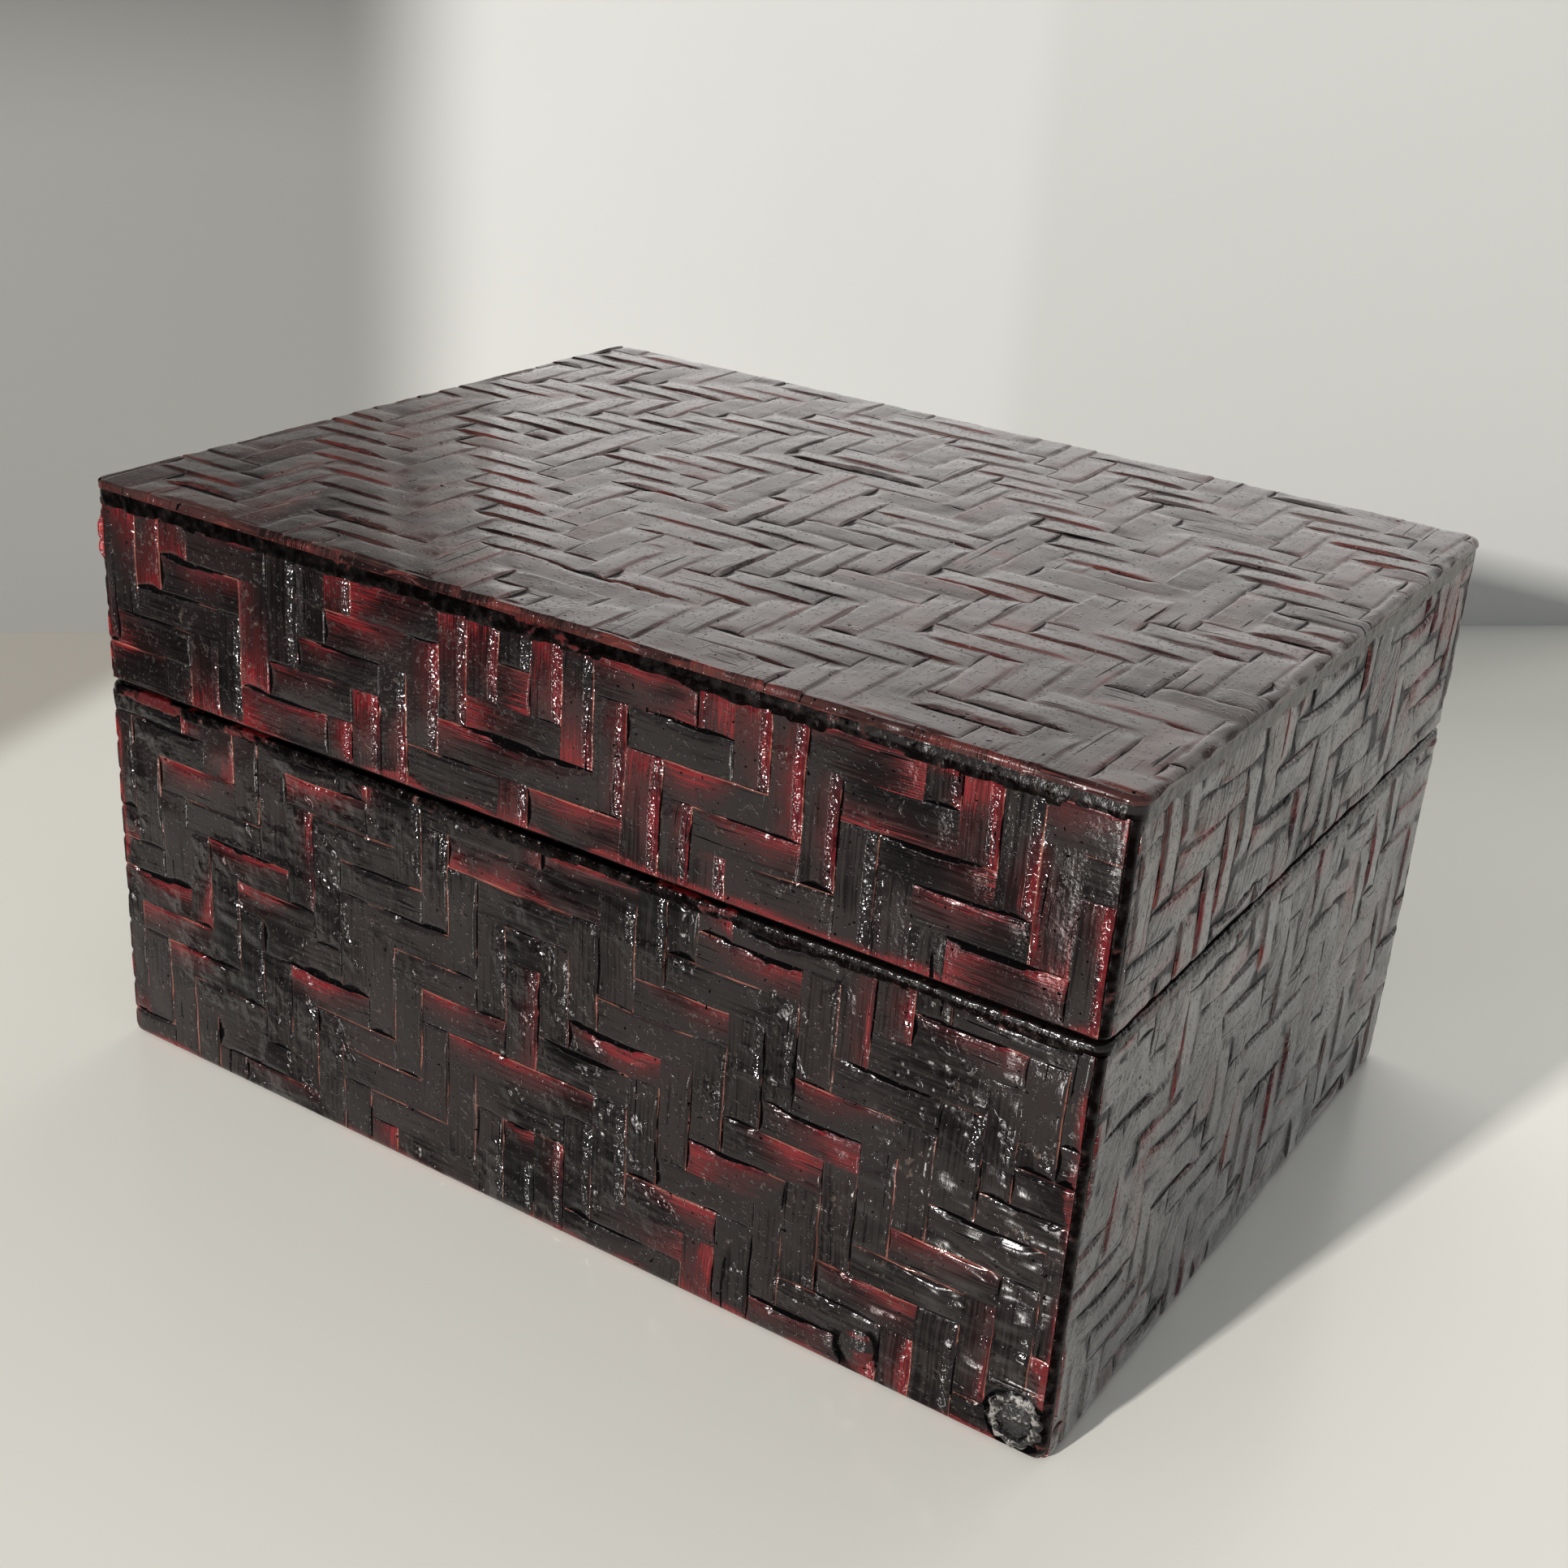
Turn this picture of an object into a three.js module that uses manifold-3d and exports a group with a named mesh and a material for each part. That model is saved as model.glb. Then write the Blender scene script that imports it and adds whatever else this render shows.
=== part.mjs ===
// A lacquered bamboo box: a wooden carcase with a lift-off lid, covered on the top and on all four
// sides with sheets of split bamboo woven in a three-over, three-under twill.
// Millimetres, +Z up. The origin is the centre of the footprint, and the front faces -Y.

import * as THREE from 'three';
import * as BufferGeometryUtils from 'three/addons/utils/BufferGeometryUtils.js';
import Module from 'manifold-3d';

const wasm = await Module();
wasm.setup();

// Overall sizes
const boxLength = 200;
const boxWidth = 152;
const boxHeight = 112;
const seamHeight = 73.6; // top of the base's rim
const cornerRadius = 3; // upright corners, seen from above
const topRound = 1.2; // along the lid's top edges
const footRound = 2; // along the base's bottom edges

// Carcase boards
const wallThickness = 4;
const topBoardThickness = 4;
const bottomBoardThickness = 6;
const bottomRaise = 2; // the bottom board sits this far above the walls' feet
const glueLine = 0.1; // between pieces that are glued to each other

// Inner collar of the base, and the lid's fit on it
const seamGap = 0.3;
const lipThickness = 3;
const lipRise = 8; // above the base's rim
const lipDepth = 14; // below the base's rim
const lipEase = 1; // chamfer along the collar's upper outer edge
const lipClearance = 0.4;

// Woven sheets
const sheetBase = 1; // from the glued back to the grooves between strips
const stripCrown = 0.8; // from the grooves to the crowns of the strips
const stripPitch = 6.3;
const floatLength = 3; // strips passed over, and then under
const leastStrip = 1.2; // a narrower offcut at an edge is left to its neighbour
const footClearance = 0.4; // the base's sheets stop this far above the table

// Black strips that close the sheets' edges
const cornerStripArm = 3;
const trimInset = 0.3; // below the crowns of the strips
const edgeStripHeight = 3;
const baseRimHeight = 2.2;
const lidRimHeight = 1.2;
const trimEase = 0.5; // chamfer along a strip's outer edges

// Bamboo pegs through the front and back boards
const pegRadius = 1.25;
const pegClearance = 0.1;
const pegDepth = 12; // into the board behind
const pegSpread = 132; // between the two pegs in the bottom board's edge
const pegSides = 12;

// Where each twill pattern turns: the middle strip's offset from the middle of the sheet, the
// distance from the sheet's top edge down to the first whole strip, and the step of the twill there.
const topEye = { along: -6.6, across: 4, step: 5 };
const frontTurn = { baseAlong: -2.5, baseDrop: 2.8, baseStep: 3, lidAlong: -5, lidDrop: -0.3, lidStep: 2 };
const sideTurn = { baseAlong: 2, baseDrop: 2.8, baseStep: 5, lidAlong: 0, lidDrop: -2.4, lidStep: 4 };

// Worked out from the sizes above
const sheetThickness = sheetBase + stripCrown;
const carcaseHalfLength = boxLength / 2 - sheetThickness - glueLine;
const carcaseHalfWidth = boxWidth / 2 - sheetThickness - glueLine;
const insideHalfLength = carcaseHalfLength - wallThickness;
const insideHalfWidth = carcaseHalfWidth - wallThickness;
const lipHalfLength = insideHalfLength - glueLine;
const lipHalfWidth = insideHalfWidth - glueLine;
const lidInsideHalfLength = lipHalfLength + lipClearance;
const lidInsideHalfWidth = lipHalfWidth + lipClearance;

const baseWallTop = seamHeight - baseRimHeight - glueLine;
const lidBottom = seamHeight + seamGap;
const lidWallBottom = lidBottom + lidRimHeight + glueLine;
const carcaseTop = boxHeight - sheetThickness - glueLine;
const topBoardBottom = carcaseTop - topBoardThickness;
const lidWallTop = topBoardBottom - glueLine;
const lidSheetTop = carcaseTop - edgeStripHeight - glueLine;
const pegHeight = bottomRaise + bottomBoardThickness / 2;

function lacquer(name, colour, roughness) {
  return new THREE.MeshStandardMaterial({ name, color: colour, roughness, metalness: 0 });
}

const wovenLacquer = { name: 'woven_bamboo', colour: 0x3a2220, roughness: 0.35 };
const trimLacquer = { name: 'black_trim', colour: 0x140c0b, roughness: 0.3 };
const boardLacquer = { name: 'lacquered_board', colour: 0x1d1210, roughness: 0.45 };
const pegBamboo = { name: 'bamboo_peg', colour: 0x8a6a42, roughness: 0.6 };

const creaseAngle = THREE.MathUtils.degToRad(12); // sharper bends than this show as edges

const box = new THREE.Group();

function addMesh(parent, name, geometry, finish) {
  const creased = BufferGeometryUtils.toCreasedNormals(geometry, creaseAngle);
  const mesh = new THREE.Mesh(creased, lacquer(finish.name, finish.colour, finish.roughness));
  mesh.name = name;
  parent.add(mesh);
  return mesh;
}

// The four sides, each seen from outside: x runs along the side, -y points outwards. The reach is
// the distance from the box's axis to the crowns, and the run is the side's length.
const sides = [
  { name: 'front', quarterTurns: 0, run: boxLength, reach: boxWidth / 2, turn: frontTurn },
  { name: 'right', quarterTurns: 1, run: boxWidth, reach: boxLength / 2, turn: sideTurn },
  { name: 'back', quarterTurns: 2, run: boxLength, reach: boxWidth / 2, turn: frontTurn },
  { name: 'left', quarterTurns: 3, run: boxWidth, reach: boxLength / 2, turn: sideTurn },
];

for (const side of sides) {
  side.group = new THREE.Group();
  side.group.rotation.z = (side.quarterTurns * Math.PI) / 2;
  side.isLong = side.quarterTurns % 2 === 0;
  box.add(side.group);
}

// Solids

function toManifold(geometry) {
  const bare = geometry.index ? geometry.clone() : geometry;
  bare.deleteAttribute('normal');
  bare.deleteAttribute('uv');
  const merged = BufferGeometryUtils.mergeVertices(bare, 1e-4);
  return new wasm.Manifold(new wasm.Mesh({
    numProp: 3,
    vertProperties: Float32Array.from(merged.attributes.position.array),
    triVerts: Uint32Array.from(merged.index.array),
  }));
}

function fromManifold(solid) {
  const mesh = solid.getMesh();
  const geometry = new THREE.BufferGeometry();
  geometry.setAttribute('position', new THREE.BufferAttribute(mesh.vertProperties, 3));
  geometry.setIndex(new THREE.BufferAttribute(mesh.triVerts, 1));
  return geometry;
}

function outline(points) {
  return new THREE.Shape(points.map(([x, y]) => new THREE.Vector2(x, y)));
}

function extrudeUp(shape, low, high, curveSegments = 6) {
  const geometry = new THREE.ExtrudeGeometry(shape, { depth: high - low, bevelEnabled: false, curveSegments });
  geometry.translate(0, 0, low);
  return geometry;
}

// A profile drawn as (outwards, up) and run along x.
function extrudeAlong(points, halfRun) {
  const geometry = extrudeUp(outline(points), -halfRun, halfRun);
  const turn = new THREE.Matrix4();
  turn.makeBasis(new THREE.Vector3(0, -1, 0), new THREE.Vector3(0, 0, 1), new THREE.Vector3(-1, 0, 0));
  geometry.applyMatrix4(turn);
  return geometry;
}

function slab(lowX, highX, lowY, highY, lowZ, highZ) {
  const geometry = new THREE.BoxGeometry(highX - lowX, highY - lowY, highZ - lowZ);
  geometry.translate((lowX + highX) / 2, (lowY + highY) / 2, (lowZ + highZ) / 2);
  return geometry;
}

// The box's plan, drawn in by an inset, with rounded corners.
function roundedPlan(inset, leastRadius) {
  const x = boxLength / 2 - inset;
  const y = boxWidth / 2 - inset;
  const r = Math.max(cornerRadius - inset, leastRadius);
  const shape = new THREE.Shape();
  shape.moveTo(r - x, -y);
  shape.lineTo(x - r, -y);
  shape.absarc(x - r, r - y, r, -Math.PI / 2, 0);
  shape.lineTo(x, y - r);
  shape.absarc(x - r, y - r, r, 0, Math.PI / 2);
  shape.lineTo(r - x, y);
  shape.absarc(r - x, y - r, r, Math.PI / 2, Math.PI);
  shape.lineTo(-x, r - y);
  shape.absarc(r - x, r - y, r, Math.PI, 1.5 * Math.PI);
  return shape;
}

function roundedBlock(inset, low, high, round) {
  const geometry = new THREE.ExtrudeGeometry(roundedPlan(inset, round + 0.2), {
    depth: high - low - 2 * round,
    bevelThickness: round,
    bevelSize: round,
    bevelOffset: -round,
    bevelSegments: 3,
    curveSegments: 5,
  });
  geometry.translate(0, 0, low + round);
  return toManifold(geometry);
}

// The box's outer form, with its corners and its top and bottom edges rounded. Everything on the
// outside is trimmed to it: the sheets to its surface, and the black strips a little inside it.
function outerForm(inset) {
  const foot = roundedBlock(inset, 0, 2 * boxHeight, footRound);
  const top = roundedBlock(inset, -boxHeight, boxHeight, topRound);
  return foot.intersect(top);
}

const sheetForm = outerForm(0);
const stripForm = outerForm(trimInset);

// Trims a piece that is drawn in the frame of a side, or in the box's own frame with no turns.
function trimTo(form, geometry, quarterTurns) {
  const angle = (quarterTurns * Math.PI) / 2;
  const placed = geometry.clone().rotateZ(angle);
  return fromManifold(toManifold(placed).intersect(form)).rotateZ(-angle);
}

// Woven sheets

// The strips between two edges of a sheet, numbered from the one on the given middle line.
function stripsBetween(low, high, middle) {
  const strips = [];
  const first = Math.floor((low - middle) / stripPitch + 0.5);
  const last = Math.floor((high - middle) / stripPitch + 0.5);
  for (let number = first; number <= last; number += 1) {
    const from = Math.max(low, middle + (number - 0.5) * stripPitch);
    const to = Math.min(high, middle + (number + 0.5) * stripPitch);
    if (to - from >= leastStrip) {
      strips.push({ number, from, to });
    }
  }
  strips[0].from = low;
  strips.at(-1).to = high;
  return strips;
}

// Stretches of equal neighbours: where the test holds for the cells from first to last.
function runsOf(count, test) {
  const runs = [];
  let first = -1;
  for (let i = 0; i <= count; i += 1) {
    const holds = i < count && test(i);
    if (holds && first < 0) {
      first = i;
    }
    if (!holds && first >= 0) {
      runs.push([first, i - 1]);
      first = -1;
    }
  }
  return runs;
}

// One float: the stretch where a strip lies on top, crowned along its middle and falling to the
// grooves on all sides. Its outline passes every crossing, so that neighbours share their corners.
function addFloat(triangles, linesAlong, from, to, toPoint) {
  const start = linesAlong[0];
  const end = linesAlong.at(-1);
  const middle = (from + to) / 2;
  const hip = Math.min(end - start, to - from) / 2;
  const ridge = [toPoint(start + hip, middle, sheetThickness), toPoint(end - hip, middle, sheetThickness)];
  const low = linesAlong.map((line) => toPoint(line, from, sheetBase));
  const high = linesAlong.map((line) => toPoint(line, to, sheetBase));
  const isPoint = end - start - 2 * hip < 1e-6;
  const turnover = isPoint ? low.length : Math.ceil(low.length / 2);
  for (let i = 0; i + 1 < low.length; i += 1) {
    const apex = i + 1 <= turnover ? ridge[0] : ridge[1];
    triangles.push([low[i], low[i + 1], apex], [high[i + 1], high[i], apex]);
    if (!isPoint && i + 1 === turnover) {
      triangles.push([low[i + 1], ridge[1], ridge[0]], [high[i + 1], ridge[0], ridge[1]]);
    }
  }
  triangles.push([high[0], low[0], ridge[0]], [low.at(-1), high.at(-1), isPoint ? ridge[0] : ridge[1]]);
}

function addWall(triangles, topPoints, firstFoot, lastFoot) {
  for (let i = 0; i + 1 < topPoints.length; i += 1) {
    triangles.push([firstFoot, topPoints[i + 1], topPoints[i]]);
  }
  triangles.push([firstFoot, lastFoot, topPoints.at(-1)]);
}

// A sheet in its own plane: x along, y up, z out of its glued back. The rule says where the
// upright strips (those that run along y) lie on top.
function wovenSheet(left, right, bottom, top, middleX, middleY, uprightOnTop) {
  const columns = stripsBetween(left, right, middleX);
  const rows = stripsBetween(bottom, top, middleY);
  const lineX = [...columns.map((strip) => strip.from), right];
  const lineY = [...rows.map((strip) => strip.from), top];
  const isUpright = (c, r) => uprightOnTop(columns[c].number, rows[r].number);
  const triangles = [];

  columns.forEach((strip, c) => {
    for (const [first, last] of runsOf(rows.length, (r) => isUpright(c, r))) {
      const lines = lineY.slice(first, last + 2);
      addFloat(triangles, lines, -strip.to, -strip.from, (a, b, z) => [-b, a, z]);
    }
  });
  rows.forEach((strip, r) => {
    for (const [first, last] of runsOf(columns.length, (c) => !isUpright(c, r))) {
      addFloat(triangles, lineX.slice(first, last + 2), strip.from, strip.to, (a, b, z) => [a, b, z]);
    }
  });

  const feet = [[left, bottom, 0], [right, bottom, 0], [right, top, 0], [left, top, 0]];
  addWall(triangles, lineX.map((x) => [x, bottom, sheetBase]), feet[0], feet[1]);
  addWall(triangles, lineY.map((y) => [right, y, sheetBase]), feet[1], feet[2]);
  addWall(triangles, [...lineX].reverse().map((x) => [x, top, sheetBase]), feet[2], feet[3]);
  addWall(triangles, [...lineY].reverse().map((y) => [left, y, sheetBase]), feet[3], feet[0]);
  triangles.push([feet[0], feet[2], feet[1]], [feet[0], feet[3], feet[2]]);

  const geometry = new THREE.BufferGeometry();
  geometry.setAttribute('position', new THREE.Float32BufferAttribute(triangles.flat(2), 3));
  return BufferGeometryUtils.mergeVertices(geometry, 1e-4);
}

function isOver(count) {
  const period = 2 * floatLength;
  return ((count % period) + period) % period < floatLength;
}

// Diamonds one inside another, around an eye near the middle of the top.
function diamondRule(step) {
  return (column, row) => isOver(Math.abs(column) + Math.abs(row) + step);
}

// Chevrons about an upright middle line. Rows are numbered upwards from the first whole strip under
// the sheet's top edge. They point up on the lid (rise 1) and down on the base (rise -1).
function chevronRule(step, rise) {
  return (column, row) => isOver(step - row - rise * Math.abs(column));
}

function addSideSheet(side, prefix, bottom, top, middleX, drop, rule) {
  const halfRun = side.run / 2 - cornerStripArm - glueLine;
  const middleY = top - drop - stripPitch / 2;
  const sheet = wovenSheet(-halfRun, halfRun, bottom, top, middleX, middleY, rule);
  sheet.rotateX(Math.PI / 2).translate(0, sheetThickness - side.reach, 0);
  const trimmed = trimTo(sheetForm, sheet, side.quarterTurns);
  addMesh(side.group, `${prefix}_${side.name}_weave`, trimmed, wovenLacquer);
}

function addWovenSheets() {
  const cover = wovenSheet(
    -boxLength / 2, boxLength / 2, -boxWidth / 2, boxWidth / 2,
    topEye.along, topEye.across, diamondRule(topEye.step),
  );
  cover.translate(0, 0, boxHeight - sheetThickness);
  addMesh(box, 'lid_top_weave', trimTo(sheetForm, cover, 0), wovenLacquer);
  for (const side of sides) {
    const { baseAlong, baseDrop, baseStep, lidAlong, lidDrop, lidStep } = side.turn;
    addSideSheet(side, 'lid', lidWallBottom, lidSheetTop, lidAlong, lidDrop, chevronRule(lidStep, 1));
    addSideSheet(side, 'base', footClearance, baseWallTop, baseAlong, baseDrop, chevronRule(baseStep, -1));
  }
}

// Black strips

// A strip along one side, mitred at both ends and eased along its outer edges.
function sideStrip(side, innerReach, innerHalfRun, low, high) {
  const outerReach = side.reach - trimInset;
  const outerHalfRun = innerHalfRun + outerReach - innerReach;
  const profile = [
    [innerReach, low],
    [outerReach - trimEase, low],
    [outerReach, low + trimEase],
    [outerReach, high - trimEase],
    [outerReach - trimEase, high],
    [innerReach, high],
  ];
  const plan = outline([
    [glueLine - outerHalfRun, -outerReach],
    [outerHalfRun - glueLine, -outerReach],
    [innerHalfRun - glueLine, -innerReach],
    [glueLine - innerHalfRun, -innerReach],
  ]);
  const bar = toManifold(extrudeAlong(profile, outerHalfRun));
  const mitred = bar.intersect(toManifold(extrudeUp(plan, low - 1, high + 1)));
  return trimTo(stripForm, fromManifold(mitred), side.quarterTurns);
}

function addSideStrips() {
  for (const side of sides) {
    const bandReach = side.reach - sheetThickness;
    const bandHalfRun = side.run / 2 - sheetThickness;
    const baseReach = side.isLong ? insideHalfWidth : insideHalfLength;
    const baseHalfRun = side.isLong ? insideHalfLength : insideHalfWidth;
    const lidReach = side.isLong ? lidInsideHalfWidth : lidInsideHalfLength;
    const lidHalfRun = side.isLong ? lidInsideHalfLength : lidInsideHalfWidth;
    const edge = sideStrip(side, bandReach, bandHalfRun, carcaseTop - edgeStripHeight, carcaseTop);
    const lidRim = sideStrip(side, lidReach, lidHalfRun, lidBottom, lidBottom + lidRimHeight);
    const baseRim = sideStrip(side, baseReach, baseHalfRun, seamHeight - baseRimHeight, seamHeight);
    addMesh(side.group, `lid_edge_strip_${side.name}`, edge, trimLacquer);
    addMesh(side.group, `lid_rim_strip_${side.name}`, lidRim, trimLacquer);
    addMesh(side.group, `base_rim_strip_${side.name}`, baseRim, trimLacquer);
  }
}

// An angle strip that closes one upright corner between two sheets.
function cornerStrip(signX, signY, low, high) {
  const x = boxLength / 2;
  const y = boxWidth / 2;
  const depth = sheetThickness;
  const plan = [
    [x - cornerStripArm, y],
    [x, y],
    [x, y - cornerStripArm],
    [x - depth, y - cornerStripArm],
    [x - depth, y - depth],
    [x - cornerStripArm, y - depth],
  ];
  const shape = outline(plan.map(([px, py]) => [signX * px, signY * py]));
  return trimTo(stripForm, extrudeUp(shape, low, high), 0);
}

function addCornerStrips() {
  const corners = { front_left: [-1, -1], front_right: [1, -1], back_right: [1, 1], back_left: [-1, 1] };
  for (const [name, [signX, signY]] of Object.entries(corners)) {
    const lidStrip = cornerStrip(signX, signY, lidWallBottom, lidSheetTop);
    const baseStrip = cornerStrip(signX, signY, footClearance, baseWallTop);
    addMesh(box, `lid_corner_strip_${name}`, lidStrip, trimLacquer);
    addMesh(box, `base_corner_strip_${name}`, baseStrip, trimLacquer);
  }
}

// Carcase

function peg(x, outerY, depth, radius) {
  const length = Math.abs(depth);
  const geometry = new THREE.CylinderGeometry(radius, radius, length, pegSides);
  geometry.translate(x, outerY + depth / 2, pegHeight);
  return geometry;
}

// The pegs go in square to the front and back boards: two into the bottom board's edge, and one
// near each end into the end of a side board.
const sideBoardMiddle = carcaseHalfLength - wallThickness / 2;
const pegPlaces = [-sideBoardMiddle, -pegSpread / 2, pegSpread / 2, sideBoardMiddle];

function pegHoles() {
  let holes = null;
  for (const facing of [1, -1]) {
    for (const x of pegPlaces) {
      const hole = toManifold(peg(
        x, -facing * (carcaseHalfWidth + 1),
        facing * (wallThickness + pegDepth + 1 + pegClearance), pegRadius + pegClearance,
      ));
      holes = holes ? holes.add(hole) : hole;
    }
  }
  return holes;
}

function addPegs() {
  for (const [face, facing] of [['front', 1], ['back', -1]]) {
    pegPlaces.forEach((x, i) => {
      const geometry = peg(x, -facing * carcaseHalfWidth, facing * (wallThickness + pegDepth), pegRadius);
      addMesh(box, `${face}_peg_${i + 1}`, geometry, pegBamboo);
    });
  }
}

function addBoards() {
  const holes = pegHoles();
  const drilled = (geometry) => fromManifold(toManifold(geometry).subtract(holes));
  const endY = insideHalfWidth - glueLine;
  const endX = insideHalfLength - glueLine;
  const lidEndY = lidInsideHalfWidth - glueLine;

  for (const [name, facing] of [['front', -1], ['back', 1]]) {
    const outer = facing * carcaseHalfWidth;
    const baseInner = facing * insideHalfWidth;
    const lidInner = facing * lidInsideHalfWidth;
    const baseWall = slab(
      -carcaseHalfLength, carcaseHalfLength,
      Math.min(outer, baseInner), Math.max(outer, baseInner), 0, baseWallTop,
    );
    const lidWall = slab(
      -carcaseHalfLength, carcaseHalfLength,
      Math.min(outer, lidInner), Math.max(outer, lidInner), lidWallBottom, lidWallTop,
    );
    addMesh(box, `base_${name}_board`, drilled(baseWall), boardLacquer);
    addMesh(box, `lid_${name}_board`, lidWall, boardLacquer);
  }

  for (const [name, facing] of [['left', -1], ['right', 1]]) {
    const outer = facing * carcaseHalfLength;
    const baseInner = facing * insideHalfLength;
    const lidInner = facing * lidInsideHalfLength;
    const baseWall = slab(
      Math.min(outer, baseInner), Math.max(outer, baseInner), -endY, endY, 0, baseWallTop,
    );
    const lidWall = slab(
      Math.min(outer, lidInner), Math.max(outer, lidInner), -lidEndY, lidEndY, lidWallBottom, lidWallTop,
    );
    addMesh(box, `base_${name}_board`, drilled(baseWall), boardLacquer);
    addMesh(box, `lid_${name}_board`, lidWall, boardLacquer);
  }

  const bottom = slab(-endX, endX, -endY, endY, bottomRaise, bottomRaise + bottomBoardThickness);
  addMesh(box, 'base_bottom_board', drilled(bottom), boardLacquer);
  const top = slab(
    -carcaseHalfLength, carcaseHalfLength, -carcaseHalfWidth, carcaseHalfWidth, topBoardBottom, carcaseTop,
  );
  addMesh(box, 'lid_top_board', top, boardLacquer);
}

// The collar: four strips glued inside the base's walls that stand up into the lid.
function addLip() {
  for (const side of sides) {
    const outer = side.isLong ? lipHalfWidth : lipHalfLength;
    const inner = outer - lipThickness;
    const halfRun = side.isLong ? lipHalfLength : lipHalfWidth - lipThickness - glueLine;
    const low = seamHeight - lipDepth;
    const high = seamHeight + lipRise;
    const profile = [
      [inner, low],
      [outer, low],
      [outer, high - lipEase],
      [outer - lipEase, high],
      [inner, high],
    ];
    addMesh(side.group, `base_lip_${side.name}`, extrudeAlong(profile, halfRun), boardLacquer);
  }
}

addBoards();
addPegs();
addLip();
addWovenSheets();
addSideStrips();
addCornerStrips();

export default box;
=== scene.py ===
import math

import bmesh
import bpy
import numpy as np
from mathutils import Matrix, Vector


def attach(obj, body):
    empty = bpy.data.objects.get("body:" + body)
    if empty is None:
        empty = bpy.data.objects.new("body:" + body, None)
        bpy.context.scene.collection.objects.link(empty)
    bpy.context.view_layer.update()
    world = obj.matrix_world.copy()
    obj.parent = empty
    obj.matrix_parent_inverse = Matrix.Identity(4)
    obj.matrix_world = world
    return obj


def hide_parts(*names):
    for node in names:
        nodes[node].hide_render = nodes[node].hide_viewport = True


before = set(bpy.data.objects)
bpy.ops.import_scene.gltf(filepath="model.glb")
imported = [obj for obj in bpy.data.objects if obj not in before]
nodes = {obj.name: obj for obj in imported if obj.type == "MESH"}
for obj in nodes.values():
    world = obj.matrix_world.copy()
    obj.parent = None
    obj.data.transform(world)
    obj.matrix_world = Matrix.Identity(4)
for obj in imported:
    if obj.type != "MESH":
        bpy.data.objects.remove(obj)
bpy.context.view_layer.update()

mm = 0.001


# Camera
# The box stands on a shelf with its front turned a little to the left. The view is from above its
# near corner at arm's length, with the camera tipped by four degrees.

view_azimuth = math.radians(31.40)
view_elevation = math.radians(24.45)
view_tip = math.radians(4.14)
view_distance = 0.400
view_target = Vector((-0.001, 0, 0.0568))
lens_length = 48.25

view_back = Vector((
    math.sin(view_azimuth) * math.cos(view_elevation),
    -math.cos(view_azimuth) * math.cos(view_elevation),
    math.sin(view_elevation),
))
level_right = Vector((0, 0, 1)).cross(view_back).normalized()
level_up = view_back.cross(level_right)
view_right = level_right * math.cos(view_tip) + level_up * math.sin(view_tip)
view_up = level_up * math.cos(view_tip) - level_right * math.sin(view_tip)

camera = bpy.data.objects.new("camera", bpy.data.cameras.new("camera"))
bpy.context.scene.collection.objects.link(camera)
camera.data.lens = lens_length
camera.data.clip_start = 0.02
turned = Matrix((view_right, view_up, view_back)).transposed().to_4x4()
camera.matrix_world = Matrix.Translation(view_target + view_back * view_distance) @ turned
bpy.context.scene.camera = camera
bpy.context.scene.view_settings.view_transform = "Standard"


# Carcase boards
# Thin softwood boards, cut square and pegged at the corners, then brushed inside with one coat of
# dark brown lacquer that has sunk into the grain.


class Amount:
    """A number, colour or direction that varies over a surface. Its sums add Math nodes."""

    def __init__(self, finish, socket):
        self.finish = finish
        self.socket = socket

    def __add__(self, other):
        return self.finish.sum("ADD", self, other)

    def __sub__(self, other):
        return self.finish.sum("SUBTRACT", self, other)

    def __mul__(self, other):
        return self.finish.sum("MULTIPLY", self, other)

    def __rsub__(self, other):
        return self.finish.sum("SUBTRACT", other, self)

    __radd__ = __add__
    __rmul__ = __mul__

    def most(self, other):
        return self.finish.sum("MAXIMUM", self, other)

    def rise(self, low, high):
        """From 0 where the amount is low to 1 where it is high, eased at both ends."""
        settings = {"interpolation_type": "SMOOTHSTEP"}
        return self.finish.add(
            "ShaderNodeMapRange", settings, {"Value": self, "From Min": low, "From Max": high}
        )


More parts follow.
